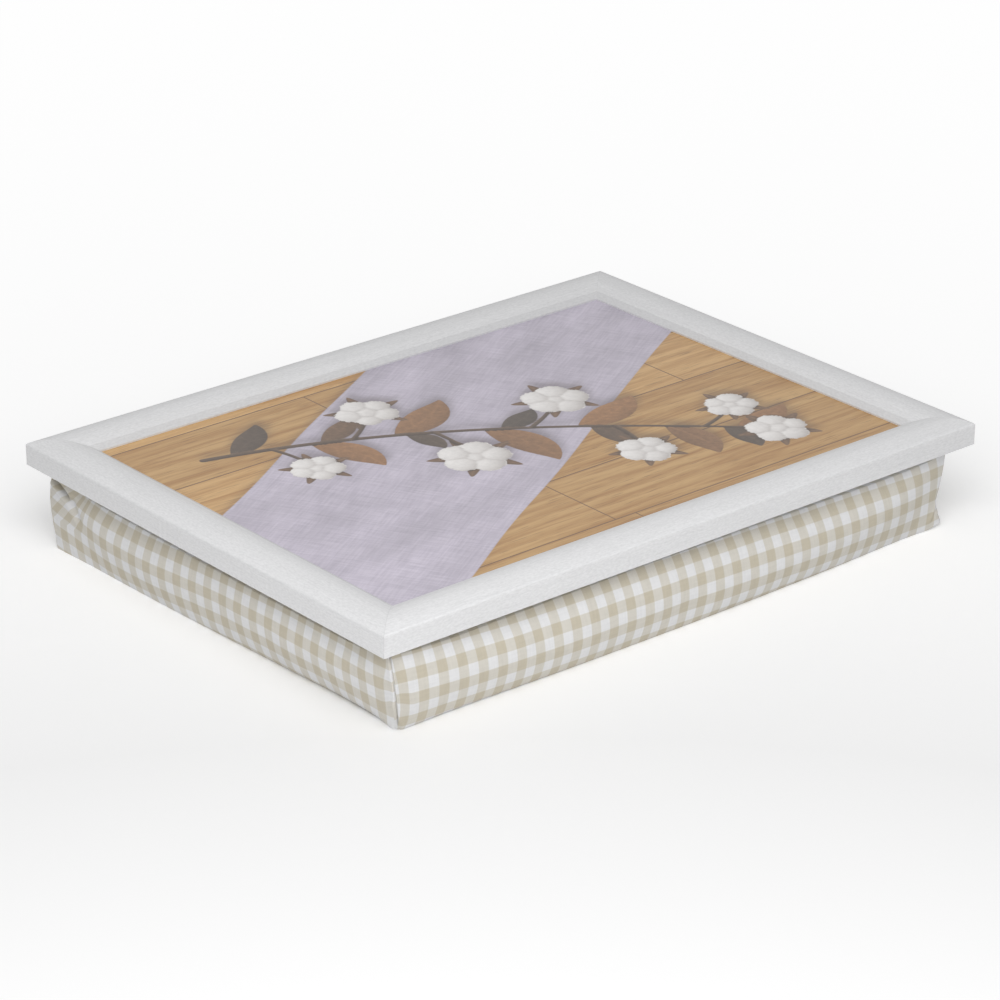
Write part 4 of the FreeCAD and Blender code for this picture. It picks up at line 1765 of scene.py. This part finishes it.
@dataclass
class Tray:
    """The rigid part: frame rails, print, board, fixings and hook tapes."""

    sprig: SprigPrint = field(default_factory=SprigPrint)

    def build(self) -> None:
        """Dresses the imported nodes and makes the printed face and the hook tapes."""
        sides = {Grain.ALONG_X: ("front_rail", "back_rail"), Grain.ALONG_Y: ("left_rail", "right_rail")}
        for grain, rails in sides.items():
            foil = LimedFoil(f"limed oak foil, grain {grain.name.lower()}", 0.48, grain=grain).material()
            for rail in rails:
                dress(rail, foil)
        turn = self.sprig.runner_turn
        self.sprig.build(PrintedLaminate("printed melamine laminate, satin", 0.4, runner_turn=turn))
        dress("tray_board", FlecksAndGrit("hardboard, pressed", 0.75).material())
        steel = FlecksAndGrit(
            "zinc-plated steel sheet, stamped", 0.35, metallic=1.0, light="#BDBEC0", dark="#9A9CA0",
            stretch=(1.0, 6.0, 1.0), relief=0.02 * MM,
        ).material()
        for node in ("corner_v_nails", "board_points"):
            dress(node, steel)
        TapeStrips(Pile.HOOK, Body.TRAY).build()


@dataclass
class Studio:
    """Plain floor, soft light and the camera."""

    lens: float = 138.51
    sensor: float = 36.0
    azimuth: float = math.radians(-40.41)
    elevation: float = math.radians(23.99)
    roll: float = math.radians(0.26)
    distance: float = 2.1673
    shift: tuple[float, float] = (-2.25 * MM, -37.28 * MM)
    aim_height: float = 62.5 * MM
    floor_size: float = 16.0
    sky: float = 0.40
    key_power: float = 18.0
    key_from: tuple[float, float, float] = (-0.73, -0.87, 1.07)
    key_size: float = 1.2
    floor_tone: str = "#F2F2F2"

    def build(self) -> None:
        """Makes the floor, world, lamp and camera."""
        self.floor()
        self.world()
        self.lamp()
        self.camera()
        bpy.context.scene.view_settings.view_transform = "Standard"

    def floor(self) -> None:
        """A wide pale floor that looks evenly white and keeps the shadow.

        The lamp's light on the floor falls as height / distance^3. To the camera alone, the floor glows by
        what the sky and the lamp leave short of white, so only shadows are darker.
        """
        half = self.floor_size / 2
        mesh = bpy.data.meshes.new("floor")
        corners = [(-half, -half, 0), (half, -half, 0), (half, half, 0), (-half, half, 0)]
        mesh.from_pydata(corners, [], [(0, 1, 2, 3)])
        material = bpy.data.materials.new("white painted floor, matt")
        material.use_nodes = True
        tree = material.node_tree
        tree.nodes.clear()
        path = add(tree, "LightPath").node
        tone = linear(self.floor_tone)
        diffuse = add(tree, "BsdfDiffuse", {"Color": tone})
        away = add(tree, "VectorMath", {
            0: add(tree, "TexCoord", out="Object"), 1: self.key_from,
        }, out="Value", operation="DISTANCE")
        fall = maths(tree, "POWER", away, -3.0)
        lit = tone[0] * self.key_power * self.key_from[2] / math.pi ** 2
        short = maths(tree, "MULTIPLY_ADD", fall, -lit, 1 - tone[0] * self.sky)
        glow = add(tree, "Emission", {"Strength": maths(tree, "MAXIMUM", short, 0.0)})
        bright = add(tree, "AddShader", {0: diffuse, 1: glow})
        seen = add(tree, "MixShader", {0: path.outputs["Is Camera Ray"], 1: diffuse, 2: bright})
        tree.links.new(seen, tree.nodes.new("ShaderNodeOutputMaterial").inputs["Surface"])
        mesh.materials.append(material)
        floor = bpy.data.objects.new("floor", mesh)
        bpy.context.scene.collection.objects.link(floor)

    def world(self) -> None:
        """An even sky that looks white to the camera and in reflections."""
        world = bpy.data.worlds.new("soft sky")
        world.use_nodes = True
        tree = world.node_tree
        tree.nodes.clear()
        path = add(tree, "LightPath").node
        direct = maths(tree, "MAXIMUM", path.outputs["Is Camera Ray"], path.outputs["Is Glossy Ray"])
        shown = maths(tree, "MAXIMUM", direct, path.outputs["Is Transmission Ray"])
        strength = ranged(tree, shown, to_low=self.sky, to_high=1.0)
        sky = add(tree, "Background", {"Color": (1.0, 1.0, 1.0, 1.0), "Strength": strength})
        tree.links.new(sky, tree.nodes.new("ShaderNodeOutputWorld").inputs["Surface"])
        bpy.context.scene.world = world

    def lamp(self) -> None:
        """One large soft lamp high in front."""
        light = bpy.data.lights.new("soft box", "AREA")
        light.shape = "SQUARE"
        light.size = self.key_size
        light.energy = self.key_power
        lamp = bpy.data.objects.new("soft box", light)
        back = np.array(self.key_from) / np.linalg.norm(self.key_from)
        side = np.cross((0, 0, 1), back)
        side = side / np.linalg.norm(side)
        lamp.matrix_world = self.placed(side, np.cross(back, side), back, np.array(self.key_from))
        bpy.context.scene.collection.objects.link(lamp)

    def camera(self) -> None:
        """The camera at the photograph's viewing angle, solved from the frame's corners."""
        a, e, r = self.azimuth, self.elevation, self.roll
        back = np.array([math.sin(a) * math.cos(e), -math.cos(a) * math.cos(e), math.sin(e)])
        level = np.array([math.cos(a), math.sin(a), 0.0])
        upright = np.cross(back, level)
        right = math.cos(r) * level + math.sin(r) * upright
        up = math.cos(r) * upright - math.sin(r) * level
        aim = np.array([0, 0, self.aim_height]) + self.shift[0] * right + self.shift[1] * up
        place = aim + self.distance * back
        data = bpy.data.cameras.new("camera")
        data.lens = self.lens
        data.sensor_width = self.sensor
        data.clip_end = 50
        camera = bpy.data.objects.new("camera", data)
        camera.matrix_world = self.placed(right, up, back, place)
        bpy.context.scene.collection.objects.link(camera)
        bpy.context.scene.camera = camera

    def placed(self, right: np.ndarray, up: np.ndarray, back: np.ndarray, place: np.ndarray) -> Matrix:
        """Sets up the matrix of an object.

        Args:
            right: Its own x axis.
            up: Its own y axis.
            back: Its own z axis.
            place: Where it stands.

        Returns:
            The matrix.
        """
        rows = np.eye(4)
        rows[:3] = np.stack([right, up, back, place], 1)
        return Matrix(rows.tolist())


def main() -> None:
    """Builds the tray, the cushion and the studio in order."""
    logging.basicConfig(level=logging.INFO, format="%(name)s: %(message)s")
    Tray().build()
    Cushion().build()
    TapeStrips(Pile.LOOP, Body.CUSHION).build()
    Studio().build()


if __name__ == "__main__":
    main()
